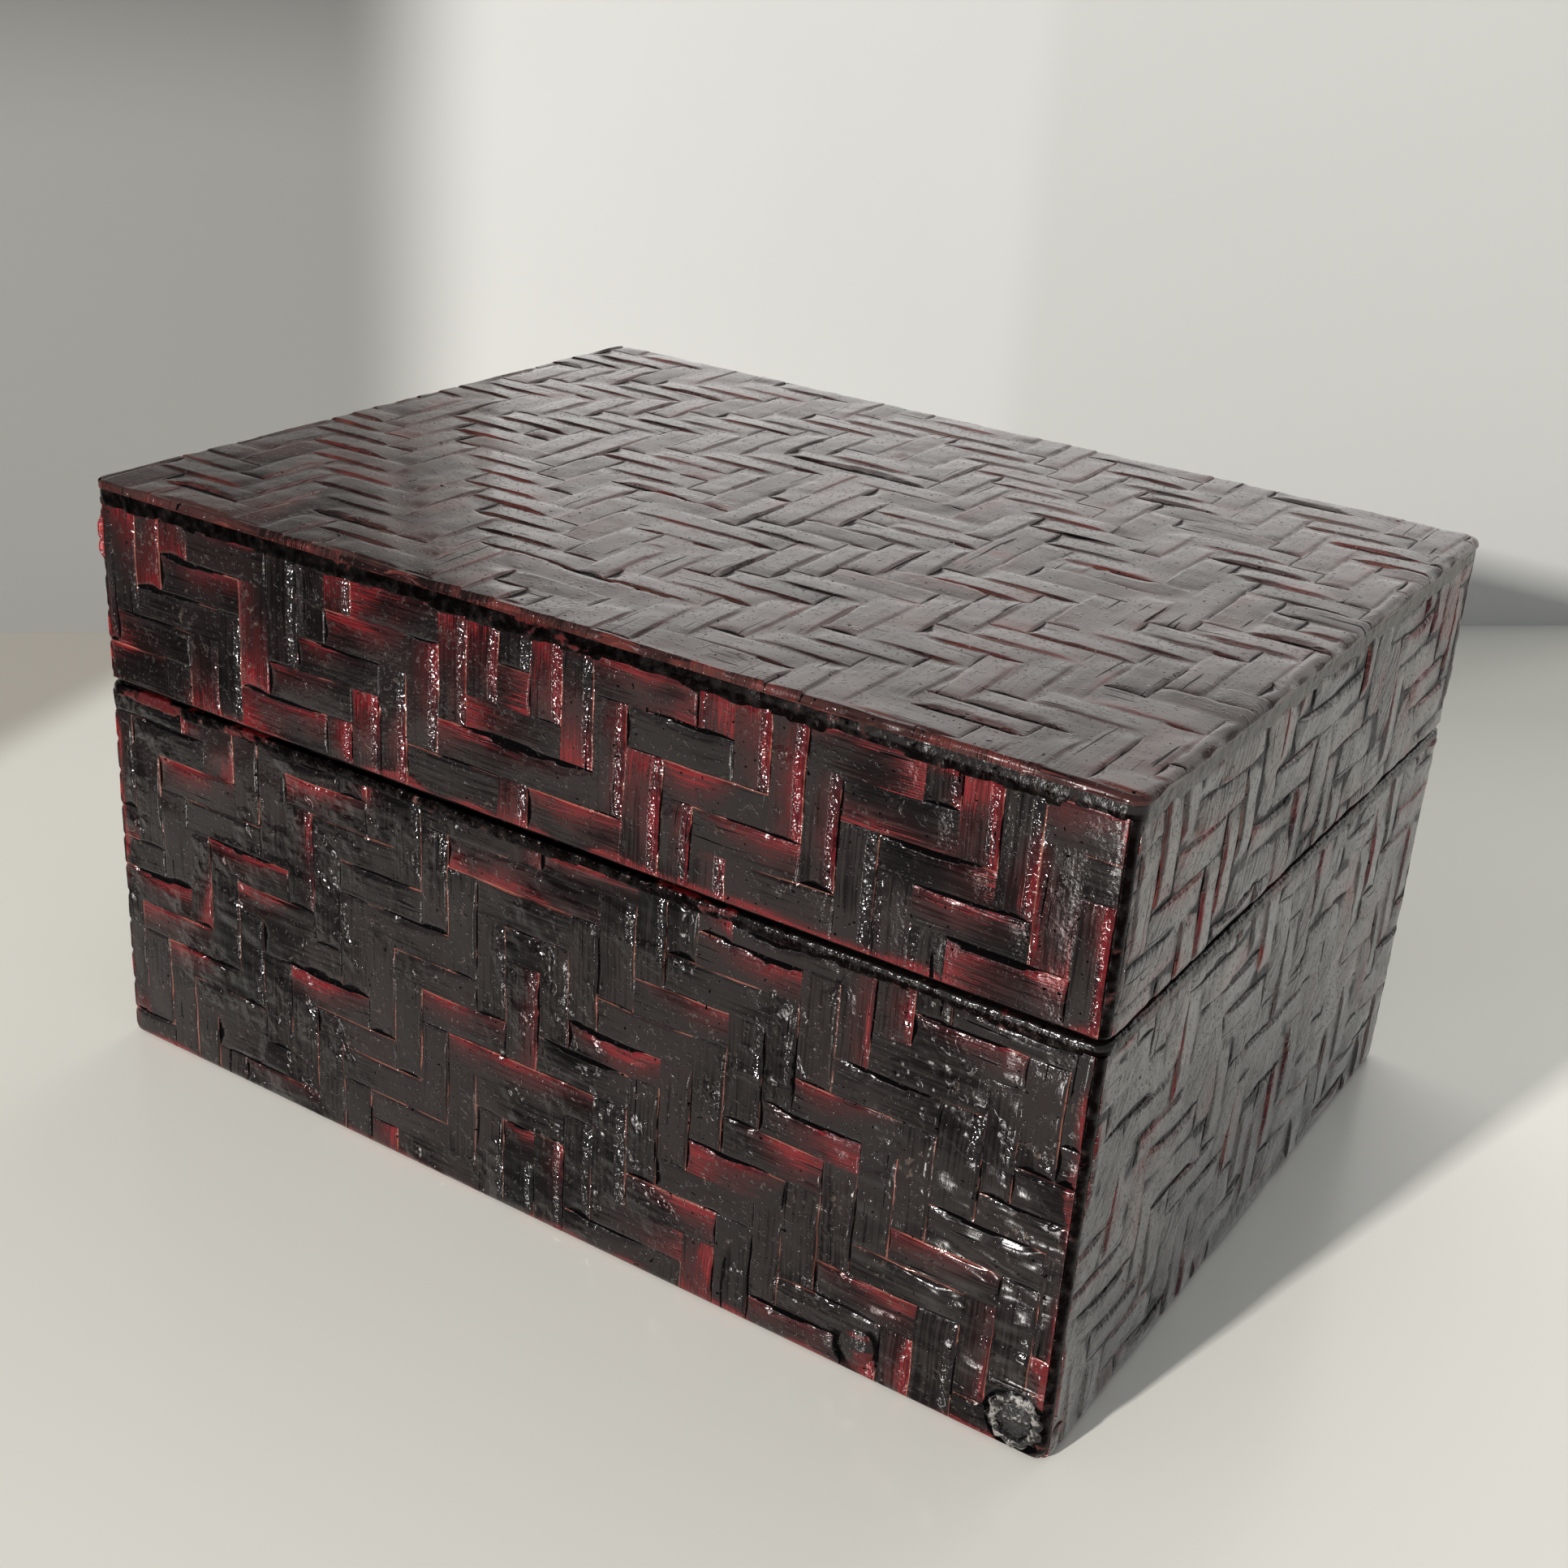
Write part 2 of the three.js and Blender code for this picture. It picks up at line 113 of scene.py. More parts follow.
class Finish:
    """A material under way: a Principled surface and the nodes that feed it."""

    def __init__(self, name, glassiness=1.5):
        self.material = bpy.data.materials.new(name)
        self.material.use_nodes = True
        self.tree = self.material.node_tree
        self.surface = self.tree.nodes["Principled BSDF"]
        self.feed(self.surface, {"IOR": glassiness})

    def feed(self, node, values):
        for key, value in values.items():
            socket = next(s for s in node.inputs if s.identifier == key)
            if isinstance(value, Amount):
                self.tree.links.new(value.socket, socket)
            else:
                socket.default_value = value

    def add(self, kind, settings, values, result=None):
        node = self.tree.nodes.new(kind)
        for key, value in settings.items():
            setattr(node, key, value)
        self.feed(node, values)
        shown = [s for s in node.outputs if s.enabled]
        socket = shown[0] if result is None else next(s for s in shown if s.identifier == result)
        return Amount(self, socket)

    def sum(self, operation, first, second):
        return self.add("ShaderNodeMath", {"operation": operation}, {"Value": first, "Value_001": second})

    def place(self, scale=(1, 1, 1), source="Object"):
        """Where a point is, on the object or in its own grain, stretched by a scale."""
        point = self.add("ShaderNodeTexCoord", {}, {}, source)
        return self.add(
            "ShaderNodeVectorMath", {"operation": "MULTIPLY"}, {"Vector": point, "Vector_001": scale}
        )

    def along(self, axis, source="Object"):
        """How far a point lies along one axis."""
        return self.add("ShaderNodeSeparateXYZ", {}, {"Vector": self.place(source=source)}, axis)

    def cloud(self, where, detail=3.0, roughness=0.55):
        """Soft random amounts from 0 to 1."""
        return self.add(
            "ShaderNodeTexNoise", {},
            {"Vector": where, "Scale": 1.0, "Detail": detail, "Roughness": roughness},
        )

    def blend(self, first, second, share):
        """A colour between two others."""
        return self.add(
            "ShaderNodeMix", {"data_type": "RGBA"},
            {"A_Color": first, "B_Color": second, "Factor_Float": share}, "Result_Color",
        )

    def relief(self, height):
        """Bumps too fine for the mesh, in metres."""
        bump = self.add("ShaderNodeBump", {}, {"Height": height, "Strength": 1.0, "Distance": 1.0})
        self.feed(self.surface, {"Normal": bump})

    def colour(self, colour, roughness):
        self.feed(self.surface, {"Base Color": colour, "Roughness": roughness})


def paint(red, green, blue):
    """A colour as a brush would give it, from its screen values of 0 to 255."""
    tones = [tone / 255 for tone in (red, green, blue)]
    return tuple(t / 12.92 if t < 0.04045 else ((t + 0.055) / 1.055) ** 2.4 for t in tones) + (1.0,)


board_brown = paint(38, 24, 20)
worn_brown = paint(76, 46, 34)
grain_depth = 0.05 * mm
brush_depth = 0.2 * mm
grain_along_x = (20, 700, 700)
grain_along_y = (700, 20, 700)


def board_finish(name, grain_size):
    """Thin brown lacquer, brushed on and worn over the grain."""
    finish = Finish(name)
    grain = finish.cloud(finish.place(grain_size), detail=5.0)
    brush = finish.cloud(finish.place((30, 30, 30)))
    worn = (grain * 0.7 + brush * 0.5).rise(0.5, 0.8)
    finish.colour(finish.blend(board_brown, worn_brown, worn), 0.3 + grain * 0.3)
    finish.relief(grain * grain_depth + brush * brush_depth)
    return finish.material


board_along_x = board_finish("board_along_x", grain_along_x)
board_along_y = board_finish("board_along_y", grain_along_y)
long_boards = ["base_bottom_board", "lid_top_board"]
long_boards += [f"{part}_{side}_board" for part in ("base", "lid") for side in ("front", "back")]
short_boards = [f"{part}_{side}_board" for part in ("base", "lid") for side in ("left", "right")]
for name in long_boards:
    nodes[name].material_slots[0].material = board_along_x
for name in short_boards:
    nodes[name].material_slots[0].material = board_along_y


# Collar
# Four strips of wood glued inside the base's walls. They stand up into the lid and hold it in
# place, and their black lacquer is rubbed where the lid slides over them.

collar_black = paint(24, 18, 17)
collar_rubbed = paint(92, 34, 28)
collar_fibre_depth = 0.06 * mm
collar_patch_depth = 0.1 * mm
fibres_along_x = (25, 900, 900)
fibres_along_y = (900, 25, 900)

for side, fibre_size in (
    ("front", fibres_along_x), ("back", fibres_along_x),
    ("left", fibres_along_y), ("right", fibres_along_y),
):
    collar = Finish(f"base_lip_{side}_lacquer")
    fibres = collar.cloud(collar.place(fibre_size), detail=5.0)
    patches = collar.cloud(collar.place((60, 60, 160)))
    rubbed = (fibres * 0.6 + patches * 0.6).rise(0.58, 0.74)
    collar.colour(collar.blend(collar_black, collar_rubbed, rubbed), 0.22 + rubbed * 0.25)
    collar.relief(fibres * collar_fibre_depth + patches * collar_patch_depth)
    nodes[f"base_lip_{side}"].material_slots[0].material = collar.material


# Pegs
# Round bamboo pegs driven through the front and back boards. Their ends lie under the woven
# sheets, so only the fibres of the bamboo would show if a sheet were lifted.

dark_bamboo = paint(116, 84, 50)
pale_bamboo = paint(176, 142, 92)
peg_fibre_size = (2600, 60, 2600)
peg_fibre_depth = 0.05 * mm

peg = Finish("peg_bamboo")
peg_fibres = peg.cloud(peg.place(peg_fibre_size), detail=4.0)
peg.colour(peg.blend(dark_bamboo, pale_bamboo, peg_fibres), 0.45 + peg_fibres * 0.2)
peg.relief(peg_fibres * peg_fibre_depth)
for face in ("front", "back"):
    for number in (1, 2, 3, 4):
        nodes[f"{face}_peg_{number}"].material_slots[0].material = peg.material


# Woven sheets
# Split bamboo, about 6 mm wide, woven over three and under three, one sheet for the top and one for
# each side of the lid and the base. The sheets are glued down, painted red, lacquered black, and
# rubbed until the red shows at the ends and edges of the strips.

strip_pitch = 6.3 * mm
least_strip = 1.2 * mm
float_length = 3
sheet_base = 1.0 * mm
strip_crown = 0.8 * mm
sheet_thickness = sheet_base + strip_crown
mesh_lines = np.array([0, 0.03, 0.07, 0.13, 0.25, 0.42, 0.58, 0.75, 0.87, 0.93, 0.97])
lines_per_strip = len(mesh_lines)

side_shift = 0.5 * mm  # how far a line between two strips lies to one side, at most
long_wander = 0.32 * mm
short_wander = 0.14 * mm
crest_share = 0.64  # of the crown, for a float's crest
end_fall = 0.20  # of the crest, toward a float's two ends
rag_depth = 0.35 * mm
least_roll = 0.28 * mm  # how far a strip's edge rounds over, at least
cut_slope = 0.9 * mm
least_slope = 1.8 * mm  # how far a float slopes down before it dives under
slope_spread = 3.4 * mm
least_crack = 0.40
start_crack = 2.0 * mm
end_crack = 0.8 * mm
widest_opening = 1.7 * mm
border_rub = 1.3 * mm
strip_apart_along = 0.37  # sets the grain of one strip apart from the next
strip_apart_across = 0.023
upright_apart = 1.7  # the lacquer tells upright strips from level ones by this

dice_size = 32
dice = np.random.default_rng(61).uniform(-1, 1, (dice_size, dice_size, dice_size))
# The random draws that each float has. The last two are spare.
draws = (
    "crest", "tilt", "near_roll", "far_roll", "start_slope", "start_sunk", "start_crack", "end_slope",
    "end_sunk", "end_crack", "far_high", "lens_depth", "lens_middle", "lens_length", "has_lens",
    "worn_end", "worn_slant", "worn_reach", "has_worn_end", "tone", "opens", "opens_at", "spare", "last",
)


def mottle(x, y, z, size):
    """Soft random heights from -1 to 1, with bumps about size across."""
    total = 0
    lows, shares = [], []
    for along in (x, y, z):
        steps = np.asarray(along / size, float)
        low = np.floor(steps)
        share = steps - low
        lows.append(low.astype(int) % dice_size)
        shares.append(share * share * (3 - 2 * share))
    for corner in range(8):
        index, weight = [], 1
        for axis in range(3):
            upper = corner >> axis & 1
            index.append((lows[axis] + upper) % dice_size)
            weight = weight * (shares[axis] if upper else 1 - shares[axis])
        total = total + weight * dice[index[0], index[1], index[2]]
    return total


def ease(share):
    share = np.clip(share, 0, 1)
    return share * share * (3 - 2 * share)


def strips_between(low, high, middle):
    """The numbers of the strips between two edges of a sheet, and the lines between them."""
    numbers, lines = [], []
    first = math.floor((low - middle) / strip_pitch + 0.5)
    last = math.floor((high - middle) / strip_pitch + 0.5)
    for number in range(first, last + 1):
        start = max(low, middle + (number - 0.5) * strip_pitch)
        end = min(high, middle + (number + 0.5) * strip_pitch)
        if end - start >= least_strip:
            numbers.append(number)
            lines.append(start)
    lines[0] = low
    return np.array(numbers), np.array(lines + [high])


def floats_of(on_top):
    """For each crossing where a strip lies on top, the first and last crossing of its float."""
    first = np.zeros(on_top.shape, int)
    last = np.zeros(on_top.shape, int)
    for strip, crossings in enumerate(on_top):
        start = 0
        for i, shows in enumerate(crossings):
            if shows and (i == 0 or not crossings[i - 1]):
                start = i
            if shows and (i + 1 == len(crossings) or not crossings[i + 1]):
                first[strip, start:i + 1] = start
                last[strip, start:i + 1] = i
    return first, last


def is_over(count):
    return count % (2 * float_length) < float_length


def diamonds(step):
    return lambda column, row: is_over(abs(column) + abs(row) + step)


def chevrons(step, rise):
    return lambda column, row: is_over(step - row - rise * abs(column))


class Weave:
    """One woven sheet in its own plane: x along, y up, and heights from the grooves' bottom."""

    def __init__(self, seed, edges, middles, rule, look):
        left, right, bottom, top = edges
        self.edges = edges
        self.look = look
        self.seed = seed
        self.columns, self.upright_lines = strips_between(left, right, middles[0])
        self.rows, self.level_lines = strips_between(bottom, top, middles[1])
        self.upright = rule(self.columns[:, None], self.rows[None, :])
        upright_first, upright_last = floats_of(self.upright)
        level_first, level_last = floats_of(~self.upright.T)
        self.first = np.where(self.upright, upright_first, level_first.T)
        self.last = np.where(self.upright, upright_last, level_last.T)
        rng = np.random.default_rng(seed)
        most = max(self.upright.shape)
        self.chance = rng.random((2, most, most, len(draws)))
        self.shift = rng.uniform(-1, 1, (2, most + 1)) * side_shift

    def line(self, kind, number, along):
        """Where the line between two strips runs: 0 for upright strips, 1 for level ones."""
        lines = (self.upright_lines, self.level_lines)[kind]
        inside = (number > 0) & (number < len(lines) - 1)
        wander = mottle(along, number * 0.013, kind * 0.4 + self.seed, 19 * mm) * long_wander
        wander = wander + mottle(along, number * 0.017, kind * 0.3 + self.seed, 5 * mm) * short_wander
        return lines[number] + inside * (self.shift[kind, number] + wander * self.look.get("wander", 1))

    def lie(self, column, row, x, y, x_plain, y_plain):
        """How a point lies on the float that shows there: distances to its edges and ends."""
        up = self.upright[column, row]
        first = self.first[column, row]
        last = self.last[column, row]
        left = self.line(0, column, y_plain)
        right = self.line(0, column + 1, y_plain)
        low = self.line(1, row, x_plain)
        high = self.line(1, row + 1, x_plain)
        start = np.where(up, self.line(1, np.where(up, first, 0), x_plain),
                         self.line(0, np.where(up, 0, first), y_plain))
        end = np.where(up, self.line(1, np.where(up, last + 1, 0), x_plain),
                       self.line(0, np.where(up, 0, last + 1), y_plain))
        edge = np.where(up, x - left, y - low)
        far_edge = np.where(up, right - x, high - y)
        start_gap = np.where(up, y - start, x - start)
        end_gap = np.where(up, end - y, end - x)
        strip = np.where(up, column, row)
        crossings = np.where(up, len(self.rows), len(self.columns))
        chance = dict(zip(draws, self.chance[up.astype(int), strip, first].T))
        level_share, upright_share = self.look["far_edge_high"]
        far_high = chance["far_high"] < np.where(up, upright_share, level_share)
        toward_high = (edge - far_edge) / (edge + far_edge) * np.where(far_high, 1, -1)
        ends = (start_gap, end_gap, first == 0, last + 1 == crossings)
        return up, strip, edge, far_edge, far_high, toward_high, ends, chance

    def height(self, column, row, x, y, x_plain, y_plain):
        """The height of the strip on top: a crowned float with rolled edges, dives and cracks."""
        look = self.look
        lying = self.lie(column, row, x, y, x_plain, y_plain)
        up, strip, edge, far_edge, far_high, toward_high, ends, chance = lying
        start_gap, end_gap, starts_cut, ends_cut = ends
        across = (edge - far_edge) / (edge + far_edge)
        along = start_gap / (start_gap + end_gap)
        filled = strip_crown * look["filling"] * (1 + 0.4 * mottle(x, y, self.seed * 1.7, 9 * mm))
        crest = crest_share + 0.10 * chance["crest"] + look["lumpy"] * mottle(x, y, self.seed * 3.1, 6 * mm)
        crest = crest + look["tilt"] * (0.6 + chance["tilt"]) * toward_high - 0.05 * across * across
        crest = strip_crown * crest * (1 - end_fall * (2 * along - 1) ** 2)
        side = 1
        ragged = 0.5 + 0.5 * mottle(x, y, self.seed * 2.3, 2.2 * mm)
        for gap, roll, is_high in (
            (edge, chance["near_roll"], ~far_high), (far_edge, chance["far_roll"], far_high),
        ):
            soft = look["soft_edges"] * np.where(is_high, 0.25, 1) * (0.3 + ragged) * (0.3 + roll)
            reach = np.clip((gap - rag_depth * roll * ragged) / (least_roll + soft * mm), 0, 1)
            side = np.minimum(side, np.sqrt(1 - (1 - reach) ** 2))
        dive = 1
        crack = 1
        lens = np.clip(1 - across ** 2, 0, 1)
        for gap, cut, end, widest in (
            (start_gap, starts_cut, "start", start_crack), (end_gap, ends_cut, "end", end_crack),
        ):
            slope = np.where(cut, cut_slope, least_slope + slope_spread * chance[end + "_slope"])
            sunk = np.where(cut, look["cut_ends"], look["sunk"] + 0.34 * chance[end + "_sunk"])
            dive = dive * (sunk + (1 - sunk) * ease(gap / slope))
            width = np.maximum(0, chance[end + "_crack"] - least_crack) * widest * (0.6 + ragged)
            half_crack = np.where(cut, 0, width) * lens / 2
            crack = np.minimum(crack, ease((gap - half_crack + 0.1 * mm) / (half_crack + 0.1 * mm)))
        high_gap = np.where(far_high, far_edge, edge)
        opens = np.maximum(0, chance["opens"] - 1 + look["cracks"]) / look["cracks"]
        opening = widest_opening * opens * (0.5 + ragged) * np.where(up, 0.3, 1)
        opening = opening * np.clip(1 - ((along - 0.35 - 0.3 * chance["opens_at"]) / 0.46) ** 2, 0, 1)
        opened = ease((high_gap - 0.7 * opening + 0.05 * mm) / (0.3 * opening + 0.05 * mm))
        crack = np.minimum(crack, opened)
        return np.maximum(crest * side * dive, filled) * crack

    def swell(self, x, y):
        """Lacquer that has run and wrinkled: lumps a few millimetres across, within some places."""
        lumps = 0.05 * mottle(x, y, self.seed, 31 * mm) + 0.05 * mottle(x, y, self.seed, 2.5 * mm)
        for spot_x, spot_y, reach, amount in self.look["swellings"]:
            near = ease(1 - np.hypot(x - spot_x, y - spot_y) / reach)
            lumps = lumps + near * amount * (0.3 + 0.7 * mottle(x, y, 5.2, 4.5 * mm))
        for spot_x, spot_y, reach, amount in self.look.get("hollows", ()):
            lumps = lumps - amount * ease((1 - np.hypot(x - spot_x, y - spot_y) / reach) * 3)
        return lumps * strip_crown

    def wear(self, lying, x, y):
        """How far a point lies inside a rubbed red patch, from -1 to 1."""
        up, strip, edge, far_edge, far_high, toward_high, ends, chance = lying
        start_gap, end_gap = ends[:2]
        along = start_gap / (start_gap + end_gap)
        from_edge = (1 - toward_high) / 2
        deep = 0.12 + 0.45 * chance["lens_depth"] ** 2
        half_lens = 0.3 + 0.6 * chance["lens_length"]
        lens = deep * (1 - ((along - chance["lens_middle"]) / half_lens) ** 2) - from_edge
        lens = np.where(chance["has_lens"] < self.look["red_edges"], lens * 1.2, -1)
        from_end = np.where(chance["worn_end"] < 0.5, start_gap, end_gap) / strip_pitch
        slant = (chance["worn_slant"] - 0.5) * toward_high
        patch = 0.10 + 0.8 * chance["worn_reach"] + slant - from_end
        patch = np.where(chance["has_worn_end"] < self.look["red_ends"], patch * 0.45, -1)
        wear = np.maximum(lens, patch)
        left, right, bottom, top = self.edges
        for gap, rubbed in zip((x - left, right - x, y - bottom, top - y), self.look["rubbed_borders"]):
            if rubbed > 0:
                border = rubbed + 1.3 * mottle(x, y, self.seed + 0.4, 7 * mm) - gap / border_rub
                wear = np.maximum(wear, border)
        for spot_x, spot_y, reach_x, reach_y in self.look.get("chips", ()):
            chip = 1.3 - np.hypot((x - spot_x) / reach_x, (y - spot_y) / reach_y)
            wear = np.maximum(wear, chip + 0.5 * mottle(x, y, self.seed, 1.5 * mm))
        return np.clip(wear, -1, 1)


def lay_tones(mesh, grain, tones):
    """The place in its strip's grain of each face corner, and the four shares a lacquer reads."""
    mesh.uv_layers.new(name="grain").uv.foreach_set("vector", grain.astype(np.float32).ravel())
    layer = mesh.color_attributes.new("weave", "FLOAT_COLOR", "CORNER")
    layer.data.foreach_set("color", tones.astype(np.float32).ravel())


def put_on(body, name, mesh, finish):
    """A finished mesh as a piece of one of the two bodies."""
    mesh.materials.append(finish)
    piece = bpy.data.objects.new(name, mesh)
    bpy.context.scene.collection.objects.link(piece)
    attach(piece, body)
    return piece


def woven_sheet(name, body, weave, finish, place, round_off):
    """A sheet as a mesh: a grid whose lines follow the strips, raised and closed behind."""
    columns, rows = weave.upright.shape
    across_count = columns * lines_per_strip
    up_count = rows * lines_per_strip
    sheet = bmesh.new()
    bmesh.ops.create_grid(sheet, x_segments=across_count, y_segments=up_count, size=0.5)
    border = [edge for edge in sheet.edges if edge.is_boundary]
    skirt = bmesh.ops.extrude_edge_only(sheet, edges=border)["geom"]
    hem = [part for part in skirt if isinstance(part, bmesh.types.BMVert)]
    bmesh.ops.translate(sheet, verts=hem, vec=(0, 0, -1))
    bmesh.ops.holes_fill(sheet, edges=[edge for edge in sheet.edges if edge.is_boundary], sides=0)
    bmesh.ops.recalc_face_normals(sheet, faces=sheet.faces)
    mesh = bpy.data.meshes.new(name)
    sheet.to_mesh(mesh)
    sheet.free()

    count = len(mesh.vertices)
    flat = np.empty(count * 3, np.float32)
    mesh.vertices.foreach_get("co", flat)
    flat = flat.reshape(-1, 3)
    line_x = np.rint((flat[:, 0] + 0.5) * across_count).astype(int)
    line_y = np.rint((flat[:, 1] + 0.5) * up_count).astype(int)
    is_back = flat[:, 2] < -0.5

    column = np.minimum(line_x // lines_per_strip, columns - 1)
    row = np.minimum(line_y // lines_per_strip, rows - 1)
    share = np.append(mesh_lines, 1.0)
    share_x = share[line_x - column * lines_per_strip]
    share_y = share[line_y - row * lines_per_strip]
    x_plain = weave.upright_lines[column] + share_x * np.diff(weave.upright_lines)[column]
    y_plain = weave.level_lines[row] + share_y * np.diff(weave.level_lines)[row]
    left = weave.line(0, column, y_plain)
    low = weave.line(1, row, x_plain)
    x = left + share_x * (weave.line(0, column + 1, y_plain) - left)
    y = low + share_y * (weave.line(1, row + 1, x_plain) - low)

    height = np.full(count, strip_crown)
    for step_x in (0, 1):
        for step_y in (0, 1):
            near_column = np.maximum(column - step_x * (share_x == 0), 0)
            near_row = np.maximum(row - step_y * (share_y == 0), 0)
            height = np.minimum(height, weave.height(near_column, near_row, x, y, x_plain, y_plain))
    height = np.minimum(height + weave.swell(x, y), strip_crown)
    # How far below the crown a point lies; the lacquer paints shade into the deepest parts by it.
    hollow = 1 - height / strip_crown
    x, y, height = round_off(x, y, height)
    up = np.where(is_back, 0, sheet_base + height)
    spots = np.stack([x, y, up], 1).astype(np.float32)
    mesh.vertices.foreach_set("co", spots.ravel())

    loops = np.empty(len(mesh.loops), int)
    mesh.loops.foreach_get("vertex_index", loops)
    starts = np.empty(len(mesh.polygons), int)
    mesh.polygons.foreach_get("loop_start", starts)
    face_of = np.repeat(np.arange(len(starts)), np.diff(np.append(starts, len(loops))))
    face_column = np.minimum(np.minimum.reduceat(line_x[loops], starts) // lines_per_strip, columns - 1)
    face_row = np.minimum(np.minimum.reduceat(line_y[loops], starts) // lines_per_strip, rows - 1)
    face_back = np.maximum.reduceat(is_back[loops], starts)
    corners = (x[loops], y[loops], x_plain[loops], y_plain[loops])
    lying = weave.lie(face_column[face_of], face_row[face_of], *corners)
    is_up, strip, edge, far_edge, far_high, toward_high, ends, chance = lying
    hidden = face_back[face_of]
    tones = np.stack([
        np.where(hidden, 0.52, 0.5 + 0.5 * weave.wear(lying, x[loops], y[loops])),
        chance["tone"],
        np.where(hidden, 0.5, hollow[loops]),
        np.where(hidden, 0.5, 0.5 + 0.5 * toward_high),
    ], 1)
    grain = np.stack([
        np.where(is_up, y_plain[loops], x_plain[loops]) + strip * strip_apart_along + is_up * 0.11,
        edge + strip * strip_apart_across + is_up * upright_apart,
    ], 1)
    lay_tones(mesh, grain, tones)
    mesh.polygons.foreach_set("use_smooth", ~face_back)
    mesh.transform(place)
    mesh.update()
    return put_on(body, name, mesh, finish)


# Near black: the deep black of some patches, and painted shade in grooves, splits and pits, partly the
# black lacquer and dirt left there.
deep_black_and_shade = paint(5, 4, 5)
grit_brown = paint(92, 76, 66)
crust_depth = 0.26 * mm
fine_grit_depth = 0.04 * mm
pimple_depth = 0.24 * mm
tooth_depth = 0.42 * mm
edge_fall_depth = 0.28 * mm
streak_depth = 0.022 * mm
fibre_depth = 0.005 * mm
split_depth = 0.06 * mm
wrinkle_depth = 2.3 * mm
wrinkle_size = (78, 190, 250)
brush_turn = (-0.55, 0, 0)
brush_size = (2.0 * mm, 0.9 * mm, 14 * mm)
glint_starts = -85 * mm
glint_full = -20 * mm


